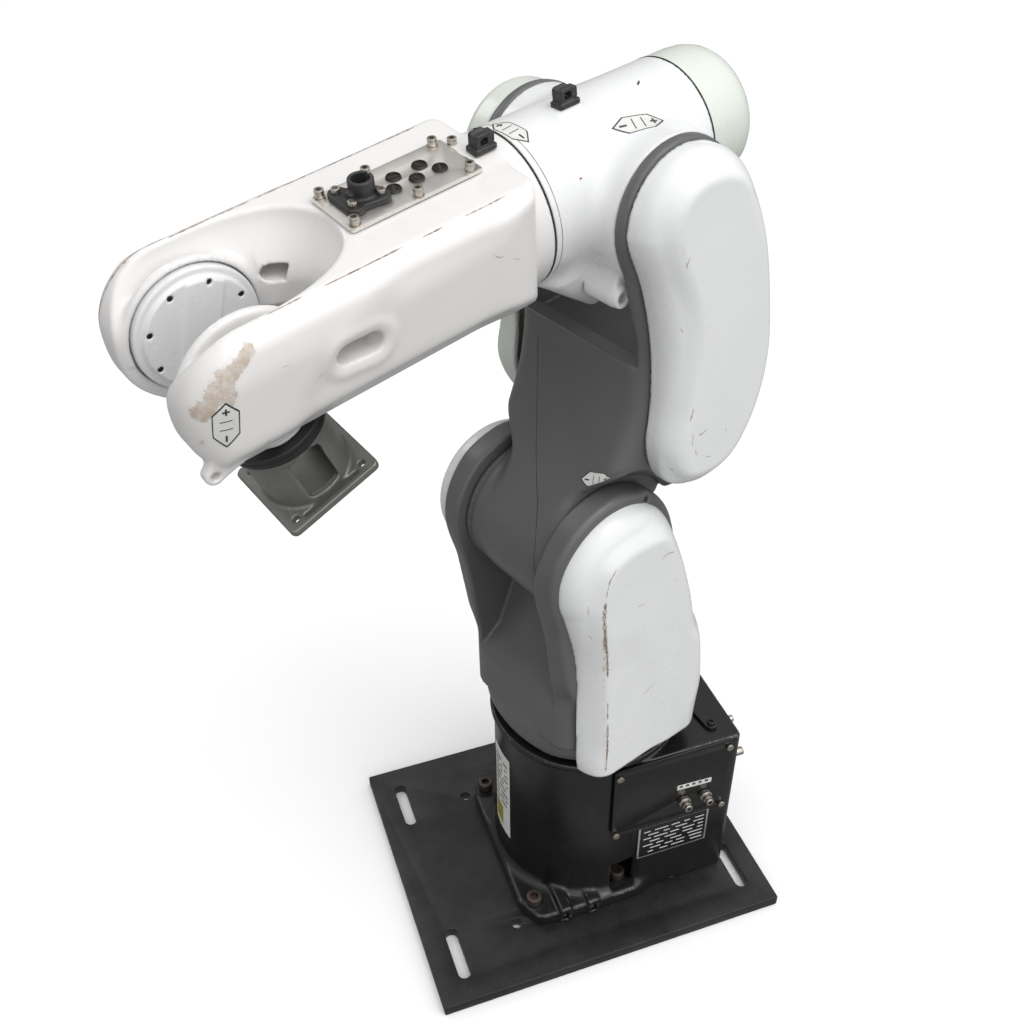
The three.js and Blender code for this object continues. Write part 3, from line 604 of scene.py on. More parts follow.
WHITE = painted("white_paint", (0.77, 0.775, 0.78), (0.745, 0.75, 0.755), 0.28, chips=0.12, dirty=0.25,
                coat=0.3)
WARM = painted("forearm_paint", (0.77, 0.757, 0.747), (0.745, 0.735, 0.727), 0.32, chips=0.15, dirty=0.3,
               coat=0.25)
COVER = painted("cover_white", (0.79, 0.797, 0.80), (0.76, 0.77, 0.775), 0.26, chips=0.1, dirty=0.2, coat=0.35)
AGED = painted("cap_white", (0.68, 0.72, 0.665), (0.65, 0.69, 0.635), 0.26, chips=0.1, dirty=0.3, coat=0.35)
GREY = painted("grey_paint", (0.115, 0.116, 0.118), (0.100, 0.101, 0.103), 0.38, chip=(0.30, 0.29, 0.27),
               chips=0.08, dirt=(0.20, 0.20, 0.19), dirty=0.45, peel=0.16)
BLACK = painted("black_paint", (0.006, 0.006, 0.0065), (0.010, 0.010, 0.0105), 0.24, chip=(0.15, 0.12, 0.10),
                chips=0.8, dirt=(0.05, 0.047, 0.044), dirty=0.7, peel=0.15)
PLATE = metal("plate_steel", (0.016, 0.0165, 0.017), (0.034, 0.0345, 0.035), 0.44, 0.35, (1, 1, 1), 0.5, 0.25)
STEEL = metal("bright_steel", (0.52, 0.49, 0.45), (0.40, 0.37, 0.33), 0.30, rust=((0.22, 0.15, 0.10), 0.45))
FOOTBOLT = metal("foot_bolt_steel", (0.10, 0.085, 0.075), (0.06, 0.05, 0.045), 0.45, 0.8,
                 rust=((0.16, 0.085, 0.05), 0.8))
SATIN = metal("satin_plate", (0.74, 0.71, 0.66), (0.66, 0.64, 0.60), 0.34, 0.85, (1, 14, 1), 0.15, 0.10)
ADAPTER = metal("adapter_aluminium", (0.205, 0.21, 0.19), (0.165, 0.17, 0.155), 0.42, 0.55, (1, 10, 1), 0.3,
                0.15)
ANODISED = metal("black_anodised", (0.020, 0.020, 0.021), (0.035, 0.035, 0.036), 0.38, 0.5)
PLASTIC = plastic("black_plastic", (0.016, 0.016, 0.017), (0.028, 0.028, 0.030), 0.42)
RUBBER = plastic("belt_rubber", (0.014, 0.014, 0.014), (0.022, 0.022, 0.022), 0.75, 0.5)
DRIVE = painted("drive_unit", (0.045, 0.046, 0.05), (0.06, 0.061, 0.066), 0.45, dirty=0.2)
SHELL = metal("plated_connector", (0.45, 0.45, 0.46), (0.36, 0.36, 0.37), 0.28)
LABEL = plastic("label_white", (0.72, 0.72, 0.70), (0.64, 0.64, 0.62), 0.45, 0.1)
INK = plastic("label_ink", (0.022, 0.022, 0.024), (0.05, 0.05, 0.052), 0.5, 0.1)
YELLOW = plastic("label_yellow", (0.40, 0.33, 0.05), (0.30, 0.25, 0.04), 0.5, 0.1)
EDGE = plastic("edge_wear", (0.17, 0.12, 0.09), (0.40, 0.34, 0.28), 0.6, 0.2)
PLUG = metal("dark_plug", (0.030, 0.027, 0.024), (0.055, 0.050, 0.046), 0.30, 0.9)
SCUFF = plastic("scuff_mark", (0.30, 0.26, 0.22), (0.46, 0.40, 0.34), 0.6, 0.2)
# Dark lines at part joints. The same colour is also painted shade for the plug slots, which are not cut.
SEAM_AND_SLOT_SHADE = plastic("seam_line_and_slot_shade", (0.020, 0.019, 0.018), (0.045, 0.040, 0.036), 0.7, 0.1)
RED = plastic("red_dot", (0.42, 0.01, 0.015), (0.30, 0.01, 0.01), 0.4, 0.1)

# The drive parts inside stay as the CAD has them. Every other node is replaced further on.
for node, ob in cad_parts.items():
    ob.data.materials.clear()
    ob.data.materials.append(RUBBER if "belt" in node else STEEL if "bearing" in node else DRIVE)

# ---- ground plate ----------------------------------------------------------------------------
PLATE_T = 12.0


def slot_outline(x, y, width, length):
    half, reach = width / 2, (length - width) / 2
    return arc(x, y + reach, half, 0, 180, 12) + arc(x, y - reach, half, 180, 360, 12)


def ring_outline(x, y, r, n=28):
    return arc(x, y, r, 0, 360 - 360 / n, n - 1)


holes = [slot_outline(x, s * 99.8, 13, 58) for x in (174.5, -138.3) for s in (-1, 1)]
holes += [ring_outline(x, s * 88, 5.5) for x in (106, -70) for s in (-1, 1)]
holes += [ring_outline(x, s * 79.8, 5.3) for x in (83.7, -9.9) for s in (-1, 1)]
edge = fillet([(-166.1, -153.5), (204.6, -153.5), (204.6, 153.5), (-166.1, 153.5)], 1.5, 3)
cut_plate("ground_plate_fine", "base", BASE, "z", [edge] + holes, 0, PLATE_T, 0.8, PLATE,
          ["ground_plate"])

# ---- base ------------------------------------------------------------------------------------
FOOT = outline(fillet([(99, -74), (86, -100), (58, -103), (-27, -101), (-45, -87), (-65, -83), (-126, -83),
                       (-126, 83), (-65, 83), (-45, 87), (-27, 101), (58, 103), (86, 100), (99, 74)], 14, 5))
FOOT_LOW, FOOT_TOP = PLATE_T + 0.3, 28.0
BOLTS = [(x, y) for x in (83.7, -9.9) for y in (79.8, -79.8)]
DOOR_SCREWS = [(3.5, 211), (3.5, 124.5), (-114, 211), (-114, 124.5)]


def base_field(x, y, z):
    foot = rim(FOOT(x, y), slab(z, FOOT_LOW, FOOT_TOP), 4)
    drum = rim(hyp(x, y) - 92, slab(z, FOOT_LOW, 222.5), 1.5)
    lip = rim(hyp(x, y) - 96, slab(z, 221.5, 229), 2.2)
    rear = rim(rect(x, y, -130, -24, -94, 94, 7), slab(z, FOOT_LOW, 218), 3.5)
    rear = np.minimum(rear, rim(rect(x, y, -130, 0, -94, 94, 7), slab(z, 118, 218), 3.5))
    d = smin(smin(drum, rear, 6), foot, 12)
    for x0 in (19, 50):
        lug = rim(rect(x, np.abs(y), x0, x0 + 13, 62, 104.5, 3), slab(z, FOOT_LOW, 33), 2.5)
        d = smin(d, lug, 3)
        d = dig(d, rim(rect(x, np.abs(y), x0 + 3.5, x0 + 9.5, 98, 110, 2), slab(z, 15, 27), 1), 1)
    d = smin(d, lip, 1.5)
    for bx, by in BOLTS:
        d = dig(d, rim(strap(x, y, (bx, by), (bx, 1.25 * by), 12.5, 13), slab(z, FOOT_TOP, 66), 3), 2.5)
        d = smin(d, rim(hyp(x - bx, y - by) - 11, slab(z, FOOT_LOW, FOOT_TOP - 0.2), 1.2), 1)
        d = dig(d, hyp(x - bx, y - by) - 5.3)
    d = dig(d, np.maximum(hyp(x, y) - 84, slab(z, 0, 195)))
    d = dig(d, np.maximum(hyp(x, y) - 62, slab(z, 0, 240)))
    d = dig(d, np.maximum(rect(x, y, -122, -20, -86, 86), slab(z, 0, 210)))
    d = dig(d, np.maximum(rect(x, z, -104, -12, 138, 202), slab(y, 80, 100)))
    d = dig(d, np.maximum(rect(y, z, -60, 60, 70, 190), slab(x, -140, -118)))
    return d


cast("base_casting_fine", "base", BASE, base_field, (-130, -105, 12), (100, 105, 229), 2.1,
     BLACK, ["base_casting"])
for i, (bx, by) in enumerate(BOLTS):
    turned(f"foot_bolt_{i + 1}_fine", "base", BASE, [cap_screw("z", (bx, by, FOOT_TOP + 0.3), 8, 10, sunk=24)],
           FOOTBOLT, [f"foot_bolt_{i + 1}"])

door = fillet([(-118, 120), (8, 120), (8, 220), (-118, 220)], 4, 4)
door_holes = ([ring_outline(x, z, 2.3, 16) for x, z in DOOR_SCREWS]
              + [ring_outline(x, 149, 4.6, 20) for x in (-69.4, -92.9)])
cut_plate("side_access_door_fine", "base", BASE, "y", [door] + door_holes, 94.3, 97.3, 0.6,
          BLACK, ["side_access_door"])
for i, (x, z) in enumerate(DOOR_SCREWS):
    turned(f"door_screw_{i + 1}_fine", "base", BASE, [cap_screw("y", (x, 97.6, z), 3.6, 3, sunk=8)],
           STEEL, [f"door_screw_{i + 1}"])


def fitting(axis, at):
    body = [(3.9, -8.5), (3.9, 0), (6.3, 0), (6.3, 4.2), (5.4, 4.8), (4.6, 4.8), (4.6, 8.5), (3.4, 9.2),
            (3.4, 10.2), (4.3, 10.6), (4.3, 12.2), (3.7, 12.8), (2.2, 12.8), (2.2, 7.0), (0, 7.0)]
    nut = [(5.2, 0.4), (6.9, 0.9), (6.9, 3.8), (5.2, 4.3)]
    return [smooth_ring(axis, at, body, 30), smooth_ring(axis, at, nut, 6)]


for name, x in (("air_fitting_front", -69.4), ("air_fitting_rear", -92.9)):
    turned(name + "_fine", "base", BASE, fitting("y", (x, 97.9, 149)), STEEL, [name])
turned("rear_air_fitting_fine", "base", BASE, fitting("-x", (-133.6, 52, 181)), STEEL,
       ["rear_air_fitting"])

turned("rear_corner_plugs", "base", BASE, [cap_screw("-x", (-130.2, 84, 181), 4.2, 9),
                                           cap_screw("-x", (-130.2, 66, 212), 3.4, 4)], STEEL)
panel = fillet([(-70, 60), (70, 60), (70, 200), (-70, 200)], 4, 4)
panel_holes = [ring_outline(-30, 110, 14.6), ring_outline(22, 110, 14.6), ring_outline(52, 181, 4.4)]
cut_plate("rear_connector_panel_fine", "base", BASE, "x", [panel] + panel_holes, -133.3, -130.3, 0.6,
          BLACK, ["rear_connector_panel"])
for name, y in (("power_connector", -30), ("signal_connector", 22)):
    ring = [(14, -20), (14, 0), (18.8, 0), (18.8, 3), (18.2, 3.6), (17, 3.6), (17, 10.8), (16, 12),
            (12.6, 12), (12, 11.4), (12, 5), (0, 5)]
    parts = [smooth_ring("-x", (-133.6, y, 110), ring, 48)]
    pins = [(0, 0)] + [(6.8 * math.cos(k * math.pi / 3), 6.8 * math.sin(k * math.pi / 3)) for k in range(6)]
    for a, b in pins:
        parts.append(smooth_ring("-x", (-133.6 - 4.5, y + a, 110 + b),
                                 [(1.1, 0), (1.1, 5.2), (0.6, 6), (0, 6)], 12))
    turned(name + "_fine", "base", BASE, parts, SHELL, [name])

strip_edge = fillet([(-92.5, 33), (-107, 39), (-112.5, 70), (-110, 79), (-102, 79), (-99, 73)], 5, 5)
cut_plate("turn_stop_strip_fine", "base", BASE, "z", [strip_edge], 218.3, 221.6, 0.6, BLACK,
          ["turn_stop_strip"])
turned("turn_stop_screw", "base", BASE, [cap_screw("z", (-105.5, 72.5, 221.6), 4, 3.2)], BLACK)

# Rating plate: a black plate with a bright border and plain rows of bars
plate_edge = fillet([(-103, 68), (-24, 68), (-24, 118.5), (-103, 118.5)], 2, 3)
cut_plate("rating_plate_border", "base", BASE, "y", [plate_edge], 94.3, 94.9, 0.2, SATIN,
          ["rating_plate"])
inner_edge = fillet([(-101, 70), (-26, 70), (-26, 116.5), (-101, 116.5)], 1.5, 3)
cut_plate("rating_plate_face", "base", BASE, "y", [inner_edge], 94.8, 95.1, 0.1, BLACK)
rows = []
for k in range(7):
    z = 75 + 5.6 * k
    left = -98.0
    while left < -34:
        width = float(rng.uniform(6, 17))
        right = min(left + width, -30)
        rows.append(([(left, 95.16, z), (right, 95.16, z), (right, 95.16, z + 1.5), (left, 95.16, z + 1.5)],
                     [(0, 3, 2, 1)]))
        left = right + float(rng.uniform(3, 8))
flat_piece("rating_plate_rows", "base", BASE, rows, LABEL)


def drum_point(angle, z, r=92.2):
    return (r * math.cos(angle), r * math.sin(angle), z)


def drum_strip(a0, a1, z0, z1, r):
    n = 14
    verts = [drum_point(a0 + (a1 - a0) * k / n, z, r) for z in (z0, z1) for k in range(n + 1)]
    return verts, [(k, k + 1, k + n + 2, k + n + 1) for k in range(n)]


A0, A1 = math.radians(-9), math.radians(14)
flat_piece("front_label", "base", BASE, [drum_strip(A0, A1, 64, 186, 92.25)], LABEL)
flat_piece("front_label_patch", "base", BASE, [drum_strip(A0 + 0.04, A0 + 0.24, 72, 100, 92.4)],
           YELLOW)
lines = []
for k in range(9):
    z = 108 + 7.8 * k
    a = A0 + 0.05
    while a < A1 - 0.07:
        b = min(a + float(rng.uniform(0.05, 0.16)), A1 - 0.04)
        lines.append(drum_strip(a, b, z, z + 2.2, 92.4))
        a = b + float(rng.uniform(0.03, 0.06))
flat_piece("front_label_rows", "base", BASE, lines, INK)
tag = fillet([(-99, 164), (-61, 166), (-61, 173), (-99, 171)], 1, 2)
cut_plate("door_tag", "base", BASE, "y", [tag], 97.35, 97.6, 0.05, LABEL)
dots = []
for k in range(5):
    x = -95 + 7 * k
    dots.append(([(x, 97.66, 167 + 0.05 * (x + 99)), (x + 3.6, 97.66, 167.2 + 0.05 * (x + 99)),
                  (x + 3.6, 97.66, 170.2 + 0.05 * (x + 99)), (x, 97.66, 170 + 0.05 * (x + 99))],
                 [(0, 3, 2, 1)]))
flat_piece("door_tag_marks", "base", BASE, dots, INK)

# ---- turret ----------------------------------------------------------------------------------
SX, _, SZ = SHOULDER
RIM_Z = 235.3
TURRET_SIDE = outline(fillet([(-72, RIM_Z), (88, RIM_Z, 8), (91, 280), (93, 340), (96, 400),
                              (SX + 66, SZ - 20), (SX + 66, SZ + 10), (SX + 40, SZ + 52), (SX, SZ + 66),
                              (SX - 40, SZ + 52), (-23, SZ), (-46, 400), (-60, 350), (-72, 290)], 22, 5))
SCOOP = outline(fillet([(170, 250), (104, 300), (66, 332), (42, 392), (-40, 396), (-140, 396), (-140, 640),
                        (170, 640)], 14, 5))


def turret_field(x, y, z):
    w = np.abs(y)
    plan = rect(x, w, -200, 93 + np.clip((z - 330) * 0.12, 0, 20), -200, 72, 30)
    lower = rim(smax(TURRET_SIDE(x, z), plan, 8), w - 72, 3)
    ear = rim(hyp(x - SX, z - SZ) - 66, w - 72, 3)
    ear = smin(ear, rim(strap(x, z, (SX, SZ), (20, 372), 64, 70), w - 72, 3), 10)
    d = smin(lower, ear, 14)
    bowl = hyp(hyp(x * 0.96, y), np.maximum(262 - z, 0) * 1.15) - 97
    d = smax(d, np.where(z < 262, bowl, -50), 10)
    d = smax(d, RIM_Z - z, 3)
    d = smin(d, rim(hyp(x, y) - 90, slab(z, RIM_Z, 262), 4), 8)
    scoop = np.maximum(SCOOP(x, z), w - 52.6)
    stop = rim(hyp(x - 12, z - 524) - 7, slab(y, 62, 72), 1.5)
    d = smin(d, stop, 4)
    d = dig(d, np.maximum(hyp(x - 12, z - 524) - 3.2, slab(y, 66, 80)), 0.5)
    d = dig(d, scoop, 3)
    d = dig(d, np.maximum(hyp(x - SX, z - SZ) - 63, w - 52.6), 1)
    d = dig(d, np.maximum(hyp(x - SX, z - SZ) - 40, w - 90))
    d = dig(d, np.maximum(hyp(x, y) - 60, z - 273))
    return dig(d, np.maximum(hyp(x, y) - 20, z - 440))


cast("turret_casting_fine", "turret", TURRET, turret_field, (-76, -72, 235), (112, 72, 537), 2.1,
     GREY, ["turret_casting"])

COVER_WALL = 5.0
turret_back = spline([(-12.3, 494.8), (-28, 455), (-42, 410), (-50, 380), (-63, 355), (-68, 300), (-64, 255),
                      (-62, 215)], 4, False)


def cover_outline(front, start):
    return outline(spline(front, 4, False) + arc(SX, SZ, 61, start, 155, 28)[1:-1] + turret_back)


LEFT_COVER = cover_outline([(70, 215), (75, 240), (77.5, 262), (79, 300), (80, 350), (85, 395),
                            (98.3, 443.2)], -25)
RIGHT_COVER = cover_outline([(50, 215), (55, 240), (58, 262), (60, 300), (62, 350), (68, 388), (83.8, 423.7)],
                             -48)
CREST = outline(spline([(62, 232), (63.4, 280), (66, 330), (68.5, 373), (73, 420), (76, 455), (72, 488),
                        (58, 500), (36, 503), (6, 498), (-12, 470), (-30, 420), (-42, 370), (-52, 330),
                        (-56, 232)], 5))
FOLD = outline([(120, 200), (-20, 200), (2, 330), (30, 410), (120, 470)])


def turret_cover_field(x, y, z):
    w = np.abs(y)
    side = np.where(y > 0, LEFT_COVER(x, z), RIGHT_COVER(x, z))
    top = 101 - 7.0 * step((CREST(x, z) + 4) / 16.0) - 2.2 * step((6 - FOLD(x, z)) / 26) * step((430 - z) / 60)
    body = smax(rim(side, w - top, np.where(y > 0, 23.0, 10.0)), 238 - z, 1.5)
    d = smax(body, 73.0 - w, 0.8)
    return dig(d, np.maximum(body + COVER_WALL, 60 - w))


def run_mark(x, y, z):
    """Brown marks along the crease and the run below it."""
    line = np.interp(z, [238, 280, 330, 373, 420, 455, 480], [62, 63.4, 66, 68.5, 73, 76, 74])
    thin = np.exp(-((x - line) / 1.6) ** 2) * (z < 470) * (z > 240)
    patchy = np.exp(-((x - line) / 3.4) ** 2) * np.exp(-((z - 425) / 24) ** 2)
    spot = 0.7 * np.exp(-(((x + 4) / 5) ** 2 + ((z - 447) / 5) ** 2))
    return np.where(y > 85, 0.62 * thin + 0.5 * patchy + spot, 0)


for side, sign, mark in (("left", 1, run_mark), ("right", -1, None)):
    def half(x, y, z, s=sign):
        return np.maximum(turret_cover_field(x, y, z), -s * y)
    y0, y1 = (70, 102) if sign > 0 else (-102, -70)
    cast(f"turret_cover_{side}_fine", "turret", TURRET, half, (-70, y0, 236), (106, y1, 532), 2.0,
         COVER, [f"turret_cover_{side}"], mark)

# ---- upper arm -------------------------------------------------------------------------------
arm_front = spline([(55.4, 20.2), (46, 44), (30, 74), (18, 108), (12, 150), (17, 200), (36, 250), (47, 273)],
                   5, False)
arm_top = arc(0, UPPER_ARM, 54, -30, 190, 30)
arm_back = spline([(-53, 290.6), (-74, 248), (-93, 200), (-97, 150), (-84, 105), (-66, 60), (-55.4, 20.2)], 5,
                   False)
ARM_SIDE = outline(arm_front + arm_top + arm_back[:-1] + arc(0, 0, 59, 160, 380, 30))


def arm_field(x, y, z):
    w = np.abs(y)
    profile = ARM_SIDE(x, z)
    far = hyp(x, z)
    reach = hyp(x, z - UPPER_ARM)
    flare = 52.2 + 27.5 * step((far - 66) / 34)
    blade = rim(profile, w - flare, 6)
    bevel = np.where(y < 0, 24.0, 8.0) * step((reach - 62) / 40) * step((x + 34) / 30)
    blade = smax(blade, (profile + w - flare + bevel) * 0.707, 6)
    barrel = rim(far - 59, w - 52.2, 2.5)
    d = smin(blade, barrel, 5)
    d = dig(d, np.maximum(far - 74 - 6 * step(-x / 40), 52.4 - w), 2)
    lip = np.maximum(rect(x, z, -6, 80, 100, UPPER_ARM), -(reach - 116))
    sweep = np.maximum(dig(np.maximum(reach - 129, -200), lip, 6), w - 71.8)
    d = dig(d, sweep, 3)
    ear = rim(reach - 54, slab(w, 71.9, 79.7), 1.5)
    d = smin(d, ear, 3)
    d = dig(d, rim(np.abs(far - 59) - 1.0, slab(w, 45.5, 47), 0.4), 0.6)
    d = dig(d, np.maximum(far - 46, slab(y, -40, 100)))
    d = dig(d, far - 12)
    boss = np.maximum(far - 30, slab(y, -71, -40))
    d = dig(np.minimum(d, boss), far - 12)
    d = dig(d, np.maximum(reach - 39.9, slab(y, 69, 100)))
    d = dig(d, np.maximum(reach - 24, slab(y, -100, -69)))
    return dig(d, np.maximum(hyp(x + 50, z - 135) - 30, slab(y, -60, 100)))


cast("arm_casting_fine", "upper_arm", ARM, arm_field, (-98, -80, -60), (60, 80, 355), 2.2, GREY,
     ["arm_casting"])

cover_back = spline([(-40, 333), (-68, 292), (-90, 240), (-103, 190), (-102, 142), (-86, 102), (-62, 82),
                     (-40, 80), (-20, 88), (-4, 118), (0, 160), (10, 205), (28, 250), (46, 280), (51, 291)],
                    5, False)
ARM_CREST = outline(spline([(-8, 119), (-14, 156), (-13, 200), (0, 244), (24, 281), (34, 305), (28, 326),
                            (7, 336), (-28, 330), (-58, 290), (-80, 235), (-93, 190), (-93, 150), (-80, 112),
                            (-54, 98), (-24, 100)], 5))
ARM_COVER = outline(arc(0, UPPER_ARM, 52, -10, 140, 24)[:-1] + cover_back[:-1])


def arm_cover_field(x, y, z):
    w = np.abs(y)
    side = ARM_COVER(x, z)
    top = 112 - 5.0 * step((ARM_CREST(x, z) + 4) / 16.0)
    body = rim(side, w - top, np.where(y > 0, 18.0, 11.0))
    d = smax(body, 80.6 - w, 0.8)
    return dig(d, np.maximum(body + COVER_WALL, 60 - w))


def arm_scuffs(x, y, z):
    crest = np.exp(-((ARM_CREST(x, z) + 1) / 1.8) ** 2)
    streak = crest * (np.exp(-((z - 288) / 16) ** 2) * (x > 0) + np.exp(-((z - 318) / 12) ** 2) * (x < -20))
    low = np.exp(-(((x + 38) / 20) ** 2 + ((z - 94) / 4) ** 2))
    return np.where(y > 92, 0.66 * streak + 0.55 * low, 0)


for side, sign, mark in (("left", 1, arm_scuffs), ("right", -1, None)):
    def half(x, y, z, s=sign):
        return np.maximum(arm_cover_field(x, y, z), -s * y)
    y0, y1 = (78, 113) if sign > 0 else (-113, -78)
    cast(f"arm_cover_{side}_fine", "upper_arm", ARM, half, (-106, y0, 78), (54, y1, 354), 2.0,
         COVER if sign > 0 else AGED, [f"arm_cover_{side}"], mark)

# ---- elbow -----------------------------------------------------------------------------------
TUBE_REAR, TUBE_FRONT = -62.8, 89.7
KEEL = outline(fillet([(88, -14), (87, -36), (60, -60), (32, -84), (12, -76), (-8, -58), (-34, -40),
                       (-30, 0)], 6, 4))


def tube_radius(x):
    return 51.8 + 4.0 * (x - TUBE_REAR) / (TUBE_FRONT - TUBE_REAR)


def elbow_field(x, y, z):
    zc = z - ELBOW_OFFSET
    w = np.abs(y)
    tube = rim(hyp(y, zc) - tube_radius(x), slab(x, TUBE_REAR, TUBE_FRONT), 1.2)
    boss = rim(hyp(x, z) - 54, w - 71.2, 2.0)
    keel = rim(KEEL(x, z), w - 34 + 0.30 * np.maximum(-40 - z, 0), 9)
    d = smin(tube, boss, 14)
    d = smin(d, keel, 9)
    d = np.maximum(d, slab(x, TUBE_REAR, TUBE_FRONT))
    lug = rim(strap(x, z, (26, -30), (45, -50), 13, 8), slab(y, 34, 62), 2)
    d = smin(d, rim(hyp(x - 45, z + 50) - 8, slab(y, 34, 67), 1.5), 2)
    d = smin(d, lug, 4)
    d = dig(d, np.maximum(hyp(x - 45, z + 50) - 4.4, slab(y, 50, 80)), 0.5)
    d = smin(d, rim(rect(x, y, 24, 44, -1, 17, 6), slab(z, 60, ELBOW_OFFSET + 54.6), 2), 4)
    d = dig(d, np.maximum(hyp(y, zc) - 45, slab(x, TUBE_REAR - 5, 40)))
    d = dig(d, np.maximum(hyp(y, zc) - 40.3, slab(x, 39, 74)))
    d = dig(d, np.maximum(hyp(y, zc) - 24, slab(x, 70, 100)))
    d = dig(d, np.maximum(hyp(x, z) - 40.3, slab(y, 40, 90)))
    return dig(d, np.maximum(hyp(x, z) - 24, slab(y, -90, -40)))


cast("elbow_housing_fine", "elbow", ELBOW, elbow_field, (-64, -72, -84), (91, 72, 75), 1.8,
     WHITE, ["elbow_housing"])

cap = [(0, 104), (38, 103), (45, 94), (46.5, 80), (46.5, 63.4), (51.6, 63.4), (51.5, 75), (51.1, 86),
       (50.0, 95), (47.6, 102), (44, 107), (39, 110), (30, 111.4), (15, 112), (0, 112)]
turned("elbow_rear_cap_fine", "elbow", ELBOW, [smooth_ring("-x", (0, 0, ELBOW_OFFSET), cap, 72)],
       AGED, ["elbow_rear_cap"], 40)


def tie_mount_field(cx, cy, cz):
    """A small moulded mount: a foot under a saddle that a cable tie threads along Y."""
    def field(x, y, z):
        u, v, w = x - cx, y - cy, z - cz
        foot = rim(rect(u, v, -9, 9, -6, 6, 2), slab(w, 0, 3.6), 0.8)
        saddle = rim(rect(u, w, -5, 7, 0, 13, 2.5), slab(v, -5, 5), 0.8)
        horn = rim(rect(u, w, -8.4, -4, 4, 11.5, 1.2), slab(v, -3.4, 3.4), 0.6)
        d = smin(smin(foot, saddle, 1.2), horn, 1.0)
        d = dig(d, rect(u, w, -1.9, 3.9, 5.4, 10.4, 1.2), 0.6)
        return dig(d, np.maximum(hyp(v, w - 14.5) - 3.0, slab(u, -20, 20)), 0.6)
    return field


for name, body, place, at in (("elbow_tie_mount", "elbow", ELBOW, (34, 8, ELBOW_OFFSET + 55.0)),
                              ("forearm_tie_mount", "forearm", FORE, (110, 6, 56.0))):
    field = tie_mount_field(*at)
    cast(name + "_fine", body, place, field, (at[0] - 10, at[1] - 7, at[2] - 1),
         (at[0] + 10, at[1] + 7, at[2] + 14), 0.55, PLASTIC, [name])

# ---- forearm ---------------------------------------------------------------------------------
TOP_Z, UNDER_Z, PRONG_GAP = 53.0, -48.0, 30.0
FORE_SIDE = outline([(100, UNDER_Z - 1), (289, UNDER_Z - 1)] + arc(FOREARM, 0, 53, -115, 90, 40)[1:]
                    + [(100, TOP_Z)])
FORE_PLAN = outline(fillet([(103, -48), (110, -60, 9), (140, -67, 60), (215, -70, 60), (366, -70, 24),
                            (366, 70, 24), (215, 70, 60), (140, 67, 60), (110, 60, 9), (103, 48)], 3, 6))
HOLLOW_SIDE = outline([(112, 56), (222, 60), (233, 46), (262, 33), (286, 18), (301, 3), (309, -12),
                       (314, -60), (112, -60)])
FORE_SECTION = outline(fillet([(-52, TOP_Z, 3), (52, TOP_Z, 3), (64, 43, 12), (70, 24, 24), (70, -18, 24),
                               (46, UNDER_Z - 1.5, 30), (-46, UNDER_Z - 1.5, 30), (-70, -18, 24), (-70, 24, 24),
                               (-64, 43, 12)], 4, 6))
THROAT = outline(spline([(420, -50), (330, -50), (288, -49.5), (262, -45), (240, -35), (226, -18), (222.5, 0),
                          (227, 20), (241, 35), (262, 44.5), (288, 49.5), (330, 50), (420, 50)], 5, False)
                 + [(420, -50)])


def fork_cut(x, y, z):
    wall = THROAT(x, y)
    slope = 19.5 * step((TOP_Z + 2 - z) / 46.0)
    bowl = wall + slope
    bowl = smax(bowl, -38 - z, 8)
    mouth = np.maximum(np.abs(y) - PRONG_GAP, 266 - x)
    return smin(bowl, mouth, 5)


def hand_hole(x, y, z):
    far = np.where(y < 0, 1.0, 0.0)
    return strap(x + 6 * far, np.where(y < 0, 9 + (z - 15) * 1.4, z), (243, 8), (262, 10), 7.6, 7.6)


def forearm_field(x, y, z):
    w = np.abs(y)
    front = hyp(x - FOREARM, z)
    hole = hand_hole(x, y, z)
    skin = w + 3.2 * step(-HOLLOW_SIDE(x, z) / 24) * step((x - 118) / 40) - 1.6 * np.exp(-((hole - 6) / 5) ** 2)
    body = smax(rim(FORE_SIDE(x, z), skin - 70, 9 + 13 * step((x - 262) / 50)), FORE_PLAN(x, skin), 4)
    body = smax(body, FORE_SECTION(skin, z), 2.5)
    neck = rim(hyp(y, z) - 55.8, slab(x, 90.6, 124), 1.2)
    d = smin(body, neck, 3)
    d = dig(d, fork_cut(x, y, z), 3)
    ring = rim(front - 47.5, slab(w, PRONG_GAP, PRONG_GAP + 7), 3)
    d = smin(d, np.maximum(ring, 264 - x), 6)
    d = dig(d, np.maximum(front - 44.2, w - PRONG_GAP - 5.2), 1)
    d = dig(d, np.maximum(front - 70, np.maximum(w - PRONG_GAP, z + 8)), 2)
    d = dig(d, np.maximum(front - 32, slab(w, 20, 60)))
    d = dig(d, np.maximum(hole, 20 - w), 1.8)
    eye = rim(strap(x, z, (346, -24), (358, -33), 12, 6.8), slab(y, 52, 60), 1.5)
    d = smin(d, eye, 3)
    d = dig(d, np.maximum(hyp(x - 358, z + 33) - 3.2, slab(y, 40, 72)), 0.4)
    d = dig(d, np.maximum(rect(x, y, 128, 206, -21, 21), slab(z, -36, 54)))
    return dig(d, np.maximum(hyp(y, z) - 20, slab(x, 80, 140)))


def forearm_stain(x, y, z):
    flake = np.minimum(strap(x, z, (319, 44), (339, 35), 1, 3.5), strap(x, z, (339, 35), (356, 18), 3.5, 2.5))
    flake = np.minimum(flake, strap(x, z, (337, 32), (344, 6), 1.5, 1.5))
    faint = 0.62 * np.exp(-(((x - 360) / 4) ** 2 + ((z + 3) / 7) ** 2))
    tip = 0.75 * np.exp(-(((z - 50) / 6) ** 2 + ((x - 338) / 14) ** 2)) * (y < -50)
    return np.where(y > 45, np.clip(1.0 - flake / 7, 0, 1) + faint, tip)


cast("forearm_casting_fine", "forearm", FORE, forearm_field, (90, -71, -62), (367, 71, 57), 1.55,
     WARM, ["forearm_casting"], forearm_stain)

